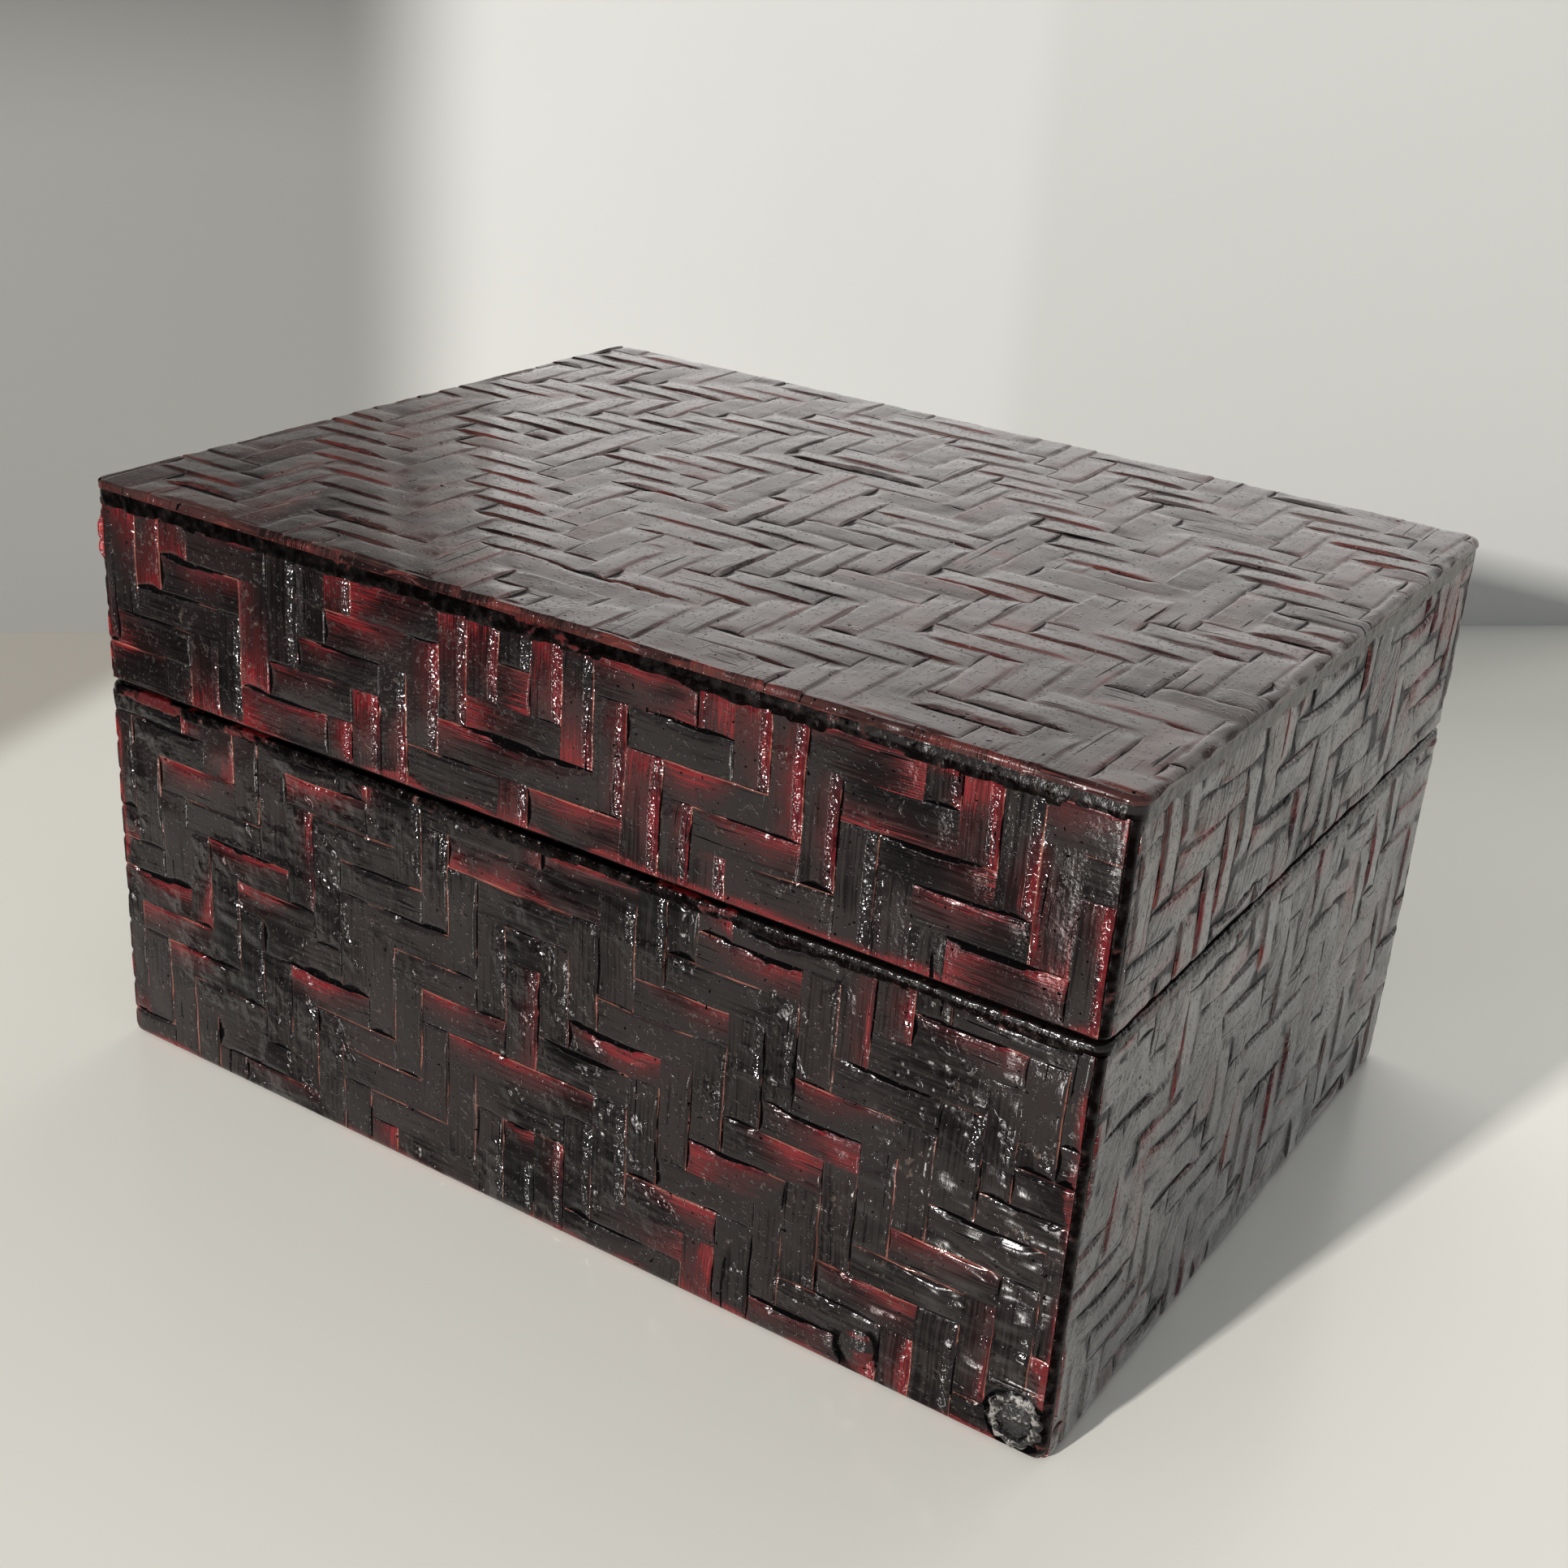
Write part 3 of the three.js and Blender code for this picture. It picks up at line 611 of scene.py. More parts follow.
def woven_lacquer(
    name, blacks, rubbed_dark, rubbed_bright, edge_highlight, grit_share, glint_share=0.62,
    wrinkle_spot=None, brushed=0, glassiness=1.47, dust=0.06, gap_patches=0.0, gap_span=(0.66, 0.88),
):
    """Black lacquer over red on bamboo, rubbed through in streaks along the grain, with painted shade in
    its grooves, splits and pits and a painted highlight along each strip's raised edge.
    """
    lacquer = Finish(name, glassiness)
    lacquer.feed(lacquer.surface, {"Sheen Weight": dust, "Sheen Roughness": 0.4})
    weave = lacquer.add("ShaderNodeAttribute", {"attribute_name": "weave"}, {}, "Color")
    high_edge = lacquer.add("ShaderNodeAttribute", {"attribute_name": "weave"}, {}, "Alpha")
    wear, tone, hollow = (
        lacquer.add("ShaderNodeSeparateColor", {}, {"Color": weave}, part)
        for part in ("Red", "Green", "Blue")
    )
    upright = lacquer.along("Y", "UV").rise(1.0, 1.5)
    away_from_left = lacquer.along("X").rise(glint_starts, glint_full)

    streaks = lacquer.cloud(lacquer.place((60, 1800, 1), "UV"), detail=4.0, roughness=0.6)
    fibres = lacquer.cloud(lacquer.place((110, 4600, 1), "UV"), detail=2.0)
    splits = lacquer.cloud(lacquer.place((38, 900, 1), "UV"), detail=2.0)
    teeth = lacquer.add(
        "ShaderNodeTexWave", {"wave_profile": "SAW"},
        {"Vector": lacquer.place(source="UV"), "Scale": 330.0, "Distortion": 7.0, "Detail": 1.0,
         "Detail Scale": 2.2}, "Fac",
    )
    patches = lacquer.cloud(lacquer.place((120, 120, 120)), detail=3.0)
    pools = lacquer.cloud(lacquer.place((45, 45, 45)), detail=4.0)
    lumps = lacquer.cloud(lacquer.place((1200, 1200, 1200)), detail=2.0)
    specks = lacquer.cloud(lacquer.place((1050, 1050, 1050)), detail=1.0)

    through = wear + streaks * 0.50 + fibres * 0.60 - 0.55
    red = through.rise(0.47, 0.64) * (1 - hollow.rise(0.70, 0.92))
    red = red * (0.4 + fibres.rise(0.38, 0.58) * 0.6)
    thin = through.rise(0.05, 0.58) * patches.rise(0.20, 0.60)
    # Painted highlight: a pale line along each strip's raised edge, kept out of the grooves.
    edge_highlight_line = high_edge.rise(0.96, 0.99) * (streaks * 0.6 + patches * 0.6).rise(0.52, 0.64)
    edge_highlight_line = edge_highlight_line * (1 - hollow.rise(0.80, 0.95))
    pimples = specks.rise(0.63, 0.71)
    pits = (1 - specks).rise(0.72, 0.76)
    split = splits.rise(0.675, 0.70)
    glint = high_edge.rise(0.68, 0.80) * upright * pools.rise(0.94 - glint_share, 1.04 - glint_share)
    glint = glint * (0.35 + away_from_left * 0.65)
    crust = patches.rise(0.60, 0.72).most(hollow.rise(0.35, 0.7) * 0.3)
    # Painted shade: the grooves between strips, with splits and pits, are painted near black and made rough
    # and unreflecting; partly this is the black lacquer and dirt left in them.
    gap = (hollow + patches * gap_patches).rise(*gap_span)
    pit_dirt_and_shade = gap.most(split).most(pits)
    deep = (pools * 0.6 + streaks * 0.5).rise(0.50, 0.66) * (0.25 if brushed else 0.7)

    black = lacquer.blend(*blacks, tone * 0.4 + streaks * 0.6)
    black = lacquer.blend(black, rubbed_dark, thin * 0.9)
    bright = lacquer.blend(rubbed_dark, rubbed_bright, (patches * 0.7 + streaks * 0.6).rise(0.45, 0.74))
    colour = lacquer.blend(black, bright, red)
    colour = lacquer.blend(colour, edge_highlight, edge_highlight_line * 0.7)
    colour = lacquer.blend(colour, deep_black_and_shade, pit_dirt_and_shade.most(deep * (1 - red)))
    colour = lacquer.blend(colour, grit_brown, pimples * patches.rise(0.45, 0.7) * (0.5 * grit_share))
    lacquer.colour(colour, 0.09 + streaks * 0.12 + red * 0.08 + pit_dirt_and_shade * 0.5 - glint * 0.06)
    # Metallic over the near-black colour takes away the reflection: painted shade in the recesses, and deep
    # black patches.
    mirror = pit_dirt_and_shade.most(deep * (1 - red) * (1 - glint))
    if brushed:
        mirror = mirror.most(red * 0.8)
    lacquer.feed(lacquer.surface, {"Metallic": mirror})
    grit = lumps * (crust * crust_depth + fine_grit_depth) + pimples * pimple_depth
    grit = grit * (1 - glint * 0.75) + (lumps * 0.25 - teeth) * (glint * tooth_depth)
    grit = (grit - high_edge.rise(0.76, 1.0) * (glint * edge_fall_depth)) * grit_share
    grit = grit + streaks * streak_depth + fibres * fibre_depth - split.most(pits) * split_depth
    if wrinkle_spot:
        away = lacquer.add(
            "ShaderNodeVectorMath", {"operation": "DISTANCE"},
            {"Vector": lacquer.place(), "Vector_001": wrinkle_spot},
        )
        wrinkled = (1 - (away + pools * 0.03).rise(0.018, 0.062)).most(pools.rise(0.50, 0.62) * 0.7)
        wrinkles = lacquer.cloud(lacquer.place(wrinkle_size), detail=1.0, roughness=0.5)
        grit = grit * (1 - wrinkled * 0.72) + wrinkles * (wrinkled * wrinkle_depth)
    if brushed:
        turned_place = lacquer.add(
            "ShaderNodeMapping", {"vector_type": "TEXTURE"},
            {"Vector": lacquer.place(), "Rotation": brush_turn, "Scale": brush_size},
        )
        grit = grit + lacquer.cloud(turned_place) * (brushed * mm) * pools.rise(0.35, 0.6)
    lacquer.relief(grit)
    return lacquer.material


side_blacks = (paint(10, 8, 9), paint(28, 15, 15))
top_blacks = (paint(32, 15, 14), paint(68, 36, 32))
# The last colour of each set below is the painted highlight along the strips' raised edges.
reds = (paint(62, 8, 12), paint(104, 12, 19), paint(154, 92, 76))
bright_reds = (paint(84, 9, 12), paint(160, 20, 21), paint(176, 98, 70))
browns = (paint(56, 22, 20), paint(86, 32, 27), paint(92, 54, 44))
side_lacquer = woven_lacquer("side_lacquer", side_blacks, *reds, grit_share=1.0, glint_share=0.79)
wrinkled_lacquer = woven_lacquer(
    "wrinkled_lacquer", side_blacks, *reds, grit_share=1.0, glint_share=0.44,
    wrinkle_spot=(86 * mm, -76 * mm, 26 * mm),
)
brushed_lacquer = woven_lacquer(
    "brushed_lacquer", side_blacks, *reds, grit_share=1.0, glint_share=0.40, brushed=0.42,
    glassiness=1.78, dust=0.42, gap_patches=0.9, gap_span=(1.13, 1.30),
)
left_lacquer = woven_lacquer(
    "left_lacquer", side_blacks, *reds, grit_share=0.8, glint_share=0.30, brushed=0.16
)
corner_lacquer = woven_lacquer("corner_lacquer", side_blacks, *bright_reds, grit_share=1.0)
top_lacquer = woven_lacquer("top_lacquer", top_blacks, *browns, grit_share=0.3, glint_share=0.0)

half_length = 100 * mm
half_width = 76 * mm
box_height = 112 * mm
corner_radius = 3 * mm
top_round = 1.6 * mm
worn_round = 1.0 * mm  # added to the top's rounding near the right end
uneven_round = 0.30 * mm
foot_round = 2.4 * mm


def round_the_top(x, y, height):
    """Rounds the plan's corners and the top edges."""
    over_x = np.clip((np.abs(x) - half_length + corner_radius) / corner_radius, 0, 1)
    over_y = np.clip((np.abs(y) - half_width + corner_radius) / corner_radius, 0, 1)
    inner_x = np.abs(x) - over_x * corner_radius
    inner_y = np.abs(y) - over_y * corner_radius
    round_x = over_x * np.sqrt(1 - over_y ** 2 / 2)
    round_y = over_y * np.sqrt(1 - over_x ** 2 / 2)
    x = np.sign(x) * (inner_x + round_x * corner_radius)
    y = np.sign(y) * (inner_y + round_y * corner_radius)
    out = np.hypot(round_x, round_y) * corner_radius
    uneven = uneven_round * mottle(x, y, 2.2, 4 * mm)
    reach = top_round + worn_round * ease((x - 0.8 * half_length) / (0.18 * half_length))
    beyond = np.clip((out - corner_radius + reach + uneven) / reach, 0, 1)
    drop = top_round * (1 - np.sqrt(1 - beyond ** 2))
    return x, y, np.minimum(height, strip_crown - drop)


def rounded_side(half_run, has_foot):
    """Rounds a side sheet toward the upright corners, and a base sheet at its foot."""

    def shaped(x, y, height):
        beyond = np.clip(np.abs(x) - half_run + corner_radius, 0, corner_radius)
        under = np.clip(foot_round - y, 0, foot_round) * has_foot
        drop = corner_radius - np.sqrt(corner_radius ** 2 - beyond ** 2)
        drop = drop + foot_round - np.sqrt(foot_round ** 2 - under ** 2)
        return x, y, np.minimum(height, strip_crown - drop)

    return shaped


corner_arm = 1.9 * mm
side_runs = {
    "front": (0, half_length, half_width), "right": (1, half_width, half_length),
    "back": (2, half_length, half_width), "left": (3, half_width, half_length),
}
lid_sheet = (74.8 * mm, 108.1 * mm)
base_sheet = (0.4 * mm, 71.9 * mm)
top_middle = (-6.6 * mm, 4 * mm)
top_step = 5
# Where a side's chevrons turn, in mm from its middle; how far below the sheet's top edge the first
# whole strip lies, in mm; and the step of the twill there.
turns = {
    "front": {"lid": (-5, 0.8, 2), "base": (-2.5, 3.4, 3)},
    "right": {"lid": (0, -1.3, 4), "base": (2, 3.4, 5)},
}
turns["back"] = turns["front"]
turns["left"] = turns["right"]

top_look = {
    "tilt": 0.17, "lumpy": 0.06, "sunk": 0.34, "filling": 0.42, "soft_edges": 0.7, "cut_ends": 1.0,
    "red_edges": 0.45, "red_ends": 0.06, "rubbed_borders": (0.1, 0, 0.02, 0.1), "swellings": (),
    "far_edge_high": (0.15, 0.8), "cracks": 0.20,
    "chips": (
        (-12.7 * mm, -23.8 * mm, 3.2 * mm, 0.9 * mm), (-8 * mm, -25.6 * mm, 2.0 * mm, 1.1 * mm),
        (39 * mm, -31.6 * mm, 2.2 * mm, 1.2 * mm), (37.8 * mm, 1.1 * mm, 3.5 * mm, 1.0 * mm),
        (35.8 * mm, -6.9 * mm, 1.6 * mm, 1.6 * mm), (54.7 * mm, 57.6 * mm, 5.0 * mm, 1.4 * mm),
    ),
}
lid_look = {
    "tilt": 0.14, "lumpy": 0.10, "sunk": 0.30, "filling": 0.44, "soft_edges": 1.0, "cut_ends": 0.55,
    "red_edges": 0.74, "red_ends": 0.40, "rubbed_borders": (0.1, 0.1, 0.35, 0.3), "swellings": (),
    "far_edge_high": (0.85, 0.8), "cracks": 0.55,
}
base_look = {**lid_look, "red_edges": 0.30, "red_ends": 0.06, "rubbed_borders": (0.1, 0.1, 0.5, 0.0)}
peg_core_place = (93.8 * mm, 5.8 * mm)
peg_bead_place = (65.7 * mm, 5.6 * mm)
wrinkled_look = {
    **base_look,
    "swellings": ((84 * mm, 24 * mm, 46 * mm, 0.25),),
    "hollows": ((*peg_core_place, 6.4 * mm, 1.2), (*peg_bead_place, 6.0 * mm, 0.34)),
}
brushed_look = {
    "wander": 2.3, "tilt": 0.24, "lumpy": 0.30, "sunk": 0.08, "filling": 0.14, "soft_edges": 1.8,
    "far_edge_high": (0.6, 0.4),
}
corner_chips = ((66 * mm, 101 * mm, 11 * mm, 5 * mm), (47 * mm, 104 * mm, 5 * mm, 1.4 * mm))
brushed_looks = {
    "lid": {**lid_look, **brushed_look, "chips": corner_chips},
    "base": {**base_look, **brushed_look, "filling": 0.28},
}
looks = {
    "front": {"lid": lid_look, "base": wrinkled_look}, "right": brushed_looks,
    "back": {"lid": lid_look, "base": base_look}, "left": brushed_looks,
}

top_edges = (-half_length, half_length, -half_width, half_width)
top_weave = Weave(11, top_edges, top_middle, diamonds(top_step), top_look)
top_place = Matrix.Translation((0, 0, box_height - sheet_thickness))
cover = woven_sheet("top_weave", "lid", top_weave, top_lacquer, top_place, round_the_top)
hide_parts("lid_top_weave")

for side, (quarter_turns, half_run, reach) in side_runs.items():
    for body, (bottom, top) in (("lid", lid_sheet), ("base", base_sheet)):
        along, drop, step = turns[side][body]
        edges = (corner_arm - half_run, half_run - corner_arm, bottom, top)
        middles = (along * mm, top - drop * mm - strip_pitch / 2)
        rise = 1 if body == "lid" else -1
        seed = 20 + 2 * quarter_turns + len(body)
        weave = Weave(seed, edges, middles, chevrons(step, rise), looks[side][body])
        turn = Matrix.Rotation(quarter_turns * math.pi / 2, 4, "Z")
        stand = Matrix.Translation((0, sheet_thickness - reach, 0)) @ Matrix.Rotation(math.pi / 2, 4, "X")
        shaped = rounded_side(half_run, body == "base")
        lacquer = side_lacquer if body == "lid" else wrinkled_lacquer
        lacquer = {"right": brushed_lacquer, "left": left_lacquer}.get(side, lacquer)
        sheet = woven_sheet(f"{body}_{side}_sheet", body, weave, lacquer, turn @ stand, shaped)
        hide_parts(f"{body}_{side}_weave")


# Rims and edge band
# Thin strips bedded in thick black lacquer: a band that closes the top board's edge under the top
# sheet, a rim round the lid's mouth and another on top of the base's walls.

trim_inset = 0.3 * mm
inner_radius = 0.3 * mm
outline_steps = 1600
stretches = [2 * (half_length - corner_radius), math.pi / 2 * corner_radius,
             2 * (half_width - corner_radius), math.pi / 2 * corner_radius] * 2
outline_knots = np.append(0, np.cumsum(stretches)) / sum(stretches)


def roll_up(name, body, steps, points_of, finish, closed_ends=False, grain_and_tones=None):
    """A bar rolled up from a flat grid and welded, with points given from the grid's two counts."""
    along_steps, round_steps = steps
    bar = bmesh.new()
    bmesh.ops.create_grid(bar, x_segments=along_steps, y_segments=round_steps, size=0.5)
    flat = np.array([vert.co for vert in bar.verts])
    along = np.rint((flat[:, 0] + 0.5) * along_steps).astype(int)
    turn = np.rint((flat[:, 1] + 0.5) * round_steps).astype(int)
    for vert, point in zip(bar.verts, points_of(along, turn)):
        vert.co = point
    bmesh.ops.remove_doubles(bar, verts=bar.verts, dist=1e-6)
    if closed_ends:
        bmesh.ops.holes_fill(bar, edges=[edge for edge in bar.edges if edge.is_boundary], sides=0)
    bmesh.ops.recalc_face_normals(bar, faces=bar.faces)
    for face in bar.faces:
        face.smooth = len(face.verts) == 4
    mesh = bpy.data.meshes.new(name)
    bar.to_mesh(mesh)
    bar.free()
    if grain_and_tones:
        loops = np.array([loop.vertex_index for loop in mesh.loops])
        lay_tones(mesh, *grain_and_tones(np.array([vert.co for vert in mesh.vertices])[loops]))
    return put_on(body, name, mesh, finish)


def around(along, half_x, half_y, radius):
    """Points on a rounded rectangle, and the outward direction there."""
    share = along / outline_steps
    sign_x = np.array([-1, 1, 1, 1, 1, -1, -1, -1, -1])
    sign_y = np.array([-1, -1, -1, 1, 1, 1, 1, -1, -1])
    quarter = np.array([-1, -1, 0, 0, 1, 1, 2, 2, 3]) * math.pi / 2
    heading = np.interp(share, outline_knots, quarter)
    outward = np.stack([np.cos(heading), np.sin(heading)], 1)
    core_x = np.interp(share, outline_knots, sign_x * (half_x - radius))
    core_y = np.interp(share, outline_knots, sign_y * (half_y - radius))
    return np.stack([core_x, core_y], 1) + outward * radius, outward


def bead_profile(rounding):
    """The section of a strip: in from its face, and up, each as a share; rounded outside."""
    tilt = np.linspace(math.pi / 2, -math.pi / 2, 15)
    inward = rounding * (1 - np.sqrt(np.abs(np.cos(tilt))))
    rise = 0.5 + 0.5 * np.sign(np.sin(tilt)) * np.abs(np.sin(tilt)) ** 0.7
    return np.append(inward, [1, 1, inward[0]]), np.append(rise, [0, 1, rise[0]])


def ring(name, body, replaced, finish, low, high, laps, inner, inset, rounding, lump_height, lump_size):
    """A strip right round the box, lapping a little over the sheets below and above it."""
    inward, rise = bead_profile(rounding)
    lap_down, lap_up = laps

    def points_of(along, turn):
        outer, outward = around(along, half_length - inset, half_width - inset, corner_radius - inset)
        back = around(along, *inner, inner_radius)[0]
        plan = outer + (back - outer) * inward[turn][:, None]
        lapped = 0.5 + 0.4 * mottle(plan[:, 0], plan[:, 1], 0.3, 3.5 * mm)
        lapped = lapped + 0.5 * mottle(plan[:, 0], plan[:, 1], 0.4, 11 * mm)
        lapped = lapped * (1 - ease(inward[turn] / 0.9))
        z = low + (high - low) * rise[turn]
        z = z - lap_down * lapped * (1 - rise[turn]) + lap_up * lapped * rise[turn]
        lumps = mottle(plan[:, 0], plan[:, 1], z, lump_size)
        lumps = 0.6 * lumps + 0.4 * mottle(plan[:, 0], plan[:, 1], z + 0.05, lump_size * 0.45)
        plan = plan + outward * (lumps * lump_height * (inward[turn] < 0.9))[:, None]
        return np.stack([plan[:, 0], plan[:, 1], z], 1)

    bead = roll_up(name, body, (outline_steps, len(rise) - 1), points_of, finish)
    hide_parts(*replaced)


trim_blacks = (paint(8, 7, 8), paint(20, 13, 12))
trim_red = paint(66, 10, 12)
trim_glassiness = 1.45
front_starts = 74.1 * mm
front_full = 74.9 * mm
wet_starts = 10 * mm
wet_full = 80 * mm
wet_fade = 0.5 * mm


def trim_lacquer(name, red_share, fleck, depth, darkness=1.0, end_shade_share=1.0, wet_above=None):
    """Thick black lacquer with grit in it, glossy on the crests, with brown flecks."""
    lacquer = Finish(name, trim_glassiness)
    grains = lacquer.cloud(lacquer.place((1100, 1100, 1100)), detail=2.0)
    flecks = lacquer.cloud(lacquer.place((520, 520, 520)), detail=3.0)
    stretch = lacquer.cloud(lacquer.place((60, 60, 260)), detail=3.0)
    red = (stretch + flecks * 0.4).rise(0.95 - red_share, 1.05 - red_share)
    colour = lacquer.blend(lacquer.blend(*trim_blacks, grains), trim_red, red)
    colour = lacquer.blend(colour, fleck, (flecks * 0.7 + grains * 0.4).rise(0.67, 0.77))
    lacquer.colour(colour, 0.10 + grains * 0.22)
    dull = (darkness - red - (flecks - 0.5) * 2.0).most(0)
    # Painted shade: the front and back faces keep the full unreflecting black, while the left and right
    # ends keep only the given share of it and so reflect.
    if end_shade_share < 1:
        y = lacquer.along("Y")
        shaded_long_sides = y.most(0 - y).rise(front_starts, front_full)
        dull = dull * (end_shade_share + shaded_long_sides * (1 - end_shade_share))
    if wet_above:
        wet = lacquer.along("Z").rise(wet_above, wet_above + wet_fade)
        wet = wet * lacquer.along("X").rise(wet_starts, wet_full)
        dull = dull * (1 - wet * (flecks + 0.2 * grains).rise(0.38, 0.52))
    lacquer.feed(lacquer.surface, {"Metallic": dull})
    lacquer.relief(grains * (depth * 0.7) + flecks * (depth * 0.5))
    return lacquer.material


black_bead = trim_lacquer(
    "black_bead", 0.12, paint(60, 26, 20), 0.16 * mm, darkness=0.9, end_shade_share=0.2, wet_above=108.5 * mm
)
rim_bead = trim_lacquer(
    "rim_bead", 0.20, paint(84, 56, 46), 0.26 * mm, darkness=0.95, end_shade_share=0.98, wet_above=72.4 * mm
)
gap_bead = trim_lacquer("gap_bead", 0.06, paint(40, 18, 16), 0.10 * mm, darkness=1.2)
sides = ("front", "back", "left", "right")
ring(
    "edge_band", "lid", [f"lid_edge_strip_{side}" for side in sides], black_bead,
    low=107.1 * mm, high=110.1 * mm,
    laps=(0.7 * mm, 0.6 * mm), inner=(half_length - sheet_thickness, half_width - sheet_thickness),
    inset=trim_inset, rounding=0.30, lump_height=0.18 * mm, lump_size=1.9 * mm,
)
ring(
    "lid_rim", "lid", [f"lid_rim_strip_{side}" for side in sides], gap_bead,
    low=73.9 * mm, high=75.1 * mm,
    laps=(0, 0.3 * mm), inner=(94.4 * mm, 70.4 * mm),
    inset=1.1 * mm, rounding=0.06, lump_height=0.12 * mm, lump_size=2.5 * mm,
)
ring(
    "base_rim", "base", [f"base_rim_strip_{side}" for side in sides], rim_bead,
    low=71.4 * mm, high=73.6 * mm,
    laps=(0.8 * mm, 0), inner=(94.1 * mm, 70.1 * mm),
    inset=trim_inset, rounding=0.20, lump_height=0.30 * mm, lump_size=1.9 * mm,
)


# Corner strips
# A narrow strip closes each upright corner between two sheets and is buried in black lacquer. At
# the front left corner the lacquer keeps the form of the level strips that end there.

corner_steps = {"lid": 90, "base": 190}
arc_steps = 14
corner_signs = {"front_left": (-1, -1), "front_right": (1, -1), "back_right": (1, 1), "back_left": (-1, 1)}
corner_bead = trim_lacquer(
    "corner_bead", 0.14, paint(84, 40, 28), 0.20 * mm, darkness=0.9, end_shade_share=0.2
)
red_corner_bead = trim_lacquer("red_corner_bead", 0.50, paint(96, 46, 28), 0.24 * mm)
covered_from = math.radians(20)  # from here on the side sheets cover a corner strip's two arms
covered_fade = math.radians(7)
covered_depth = 0.7 * mm
bulge_middle = 101 * mm
bulge_half = 3.6 * mm
arm_end = 3 * mm
back_steps = {
    1: (sheet_thickness, arm_end), 2: (sheet_thickness, sheet_thickness), 3: (arm_end, sheet_thickness),
}
strip_tops = {"lid": lid_sheet[1] - 1.4 * mm, "base": base_sheet[1] - 3.4 * mm}
strip_dice = {"lid": 5, "base": 9}


def strip_ends(body, z):
    """The level strips that end at a corner: their numbers, and the share of a strip from its foot."""
    rows = (z - strip_tops[body]) / strip_pitch + 0.12 * mottle(z, 0, 0.7, 8 * mm)
    return np.floor(rows).astype(int), rows - np.floor(rows)


def strip_end_tones(body):
    """The grain and the tones of the strip ends at a woven corner."""

    def grain_and_tones(points):
        x, y, z = points.T
        rows, share = strip_ends(body, z)
        chance = dice[rows % dice_size, 3, strip_dice[body]] * 0.5 + 0.5
        red = np.where(chance < 0.35, 0.3 - 2.4 * np.abs(share - 0.55), -1)
        red = red + 0.6 * mottle(x, y, z, 4 * mm)
        if body == "lid":
            bulge = 1 - ((z - bulge_middle) / bulge_half) ** 2
            red = np.maximum(red, bulge + 0.3 * mottle(x, y, z, 3 * mm))
        groove = np.clip(1 - 6 * np.minimum(share, 1 - share), 0, 1)
        tones = np.stack([0.5 + 0.5 * np.clip(red, -1, 1), chance, 0.3 + 0.35 * groove, share], 1)
        grain = np.stack([x - y, share * strip_pitch + rows * strip_apart_across + 0.7], 1)
        return grain, tones

    return grain_and_tones


def corner_points(body, sign_x, sign_y, woven):
    """The closed section of a corner strip at each height: a lumpy arc and a square back."""
    bottom, top = lid_sheet if body == "lid" else base_sheet

    def points_of(along, turn):
        z = bottom + (top - bottom) * along / corner_steps[body]
        bend = np.minimum(turn, arc_steps) / arc_steps * math.pi / 2
        foot = np.clip(foot_round - z, 0, foot_round) if body == "base" else 0
        radius = corner_radius - trim_inset - foot_round + np.sqrt(foot_round ** 2 - foot ** 2)
        covered = ease((np.abs(bend - math.pi / 4) - covered_from) / covered_fade)
        radius = radius - covered * covered_depth
        plain_x = half_length - corner_radius + radius * np.sin(bend)
        plain_y = half_width - corner_radius + radius * np.cos(bend)
        spot = (sign_x * plain_x, sign_y * plain_y, z)
        if woven:
            share = strip_ends(body, z)[1]
            lumps = 0.30 * ease(6 * np.minimum(share, 1 - share)) - 0.10 + 0.10 * mottle(*spot, 3 * mm)
            if body == "lid":
                lumps = lumps + 0.7 * ease(1.3 - ((z - bulge_middle) / bulge_half) ** 2)
        else:
            lumps = 0.11 * mottle(*spot, 1.7 * mm) + 0.17 * mottle(*spot, 6 * mm)
        lumps = lumps * (1 - covered)
        place_x = np.minimum(plain_x + lumps * mm * np.sin(bend), half_length)
        place_y = np.minimum(plain_y + lumps * mm * np.cos(bend), half_width)
        for number, (back_x, back_y) in back_steps.items():
            place_x = np.where(turn == arc_steps + number, half_length - back_x, place_x)
            place_y = np.where(turn == arc_steps + number, half_width - back_y, place_y)
        first = np.argsort(turn + along * 100)[::arc_steps + 5]
        closing = turn == arc_steps + 4
        place_x = np.where(closing, place_x[first][along], place_x)
        place_y = np.where(closing, place_y[first][along], place_y)
        return np.stack([sign_x * place_x, sign_y * place_y, z], 1)

    return points_of


for corner, (sign_x, sign_y) in corner_signs.items():
    for body in ("lid", "base"):
        woven = corner == "front_left"
        bead = red_corner_bead if (body, corner) == ("lid", "back_right") else corner_bead
        strip = roll_up(
            f"{body}_corner_{corner}", body, (corner_steps[body], arc_steps + 4),
            corner_points(body, sign_x, sign_y, woven), corner_lacquer if woven else bead,
            closed_ends=True, grain_and_tones=strip_end_tones(body) if woven else None,
        )
        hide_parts(f"{body}_corner_strip_{corner}")


# Peg ends
# Two peg ends that show through the front near its foot: one as a smooth bead of lacquer, and one
# chipped open, with a swollen glossy rim round a rough dark core.

peg_end_back = 74.6 * mm
disc_segments = 40


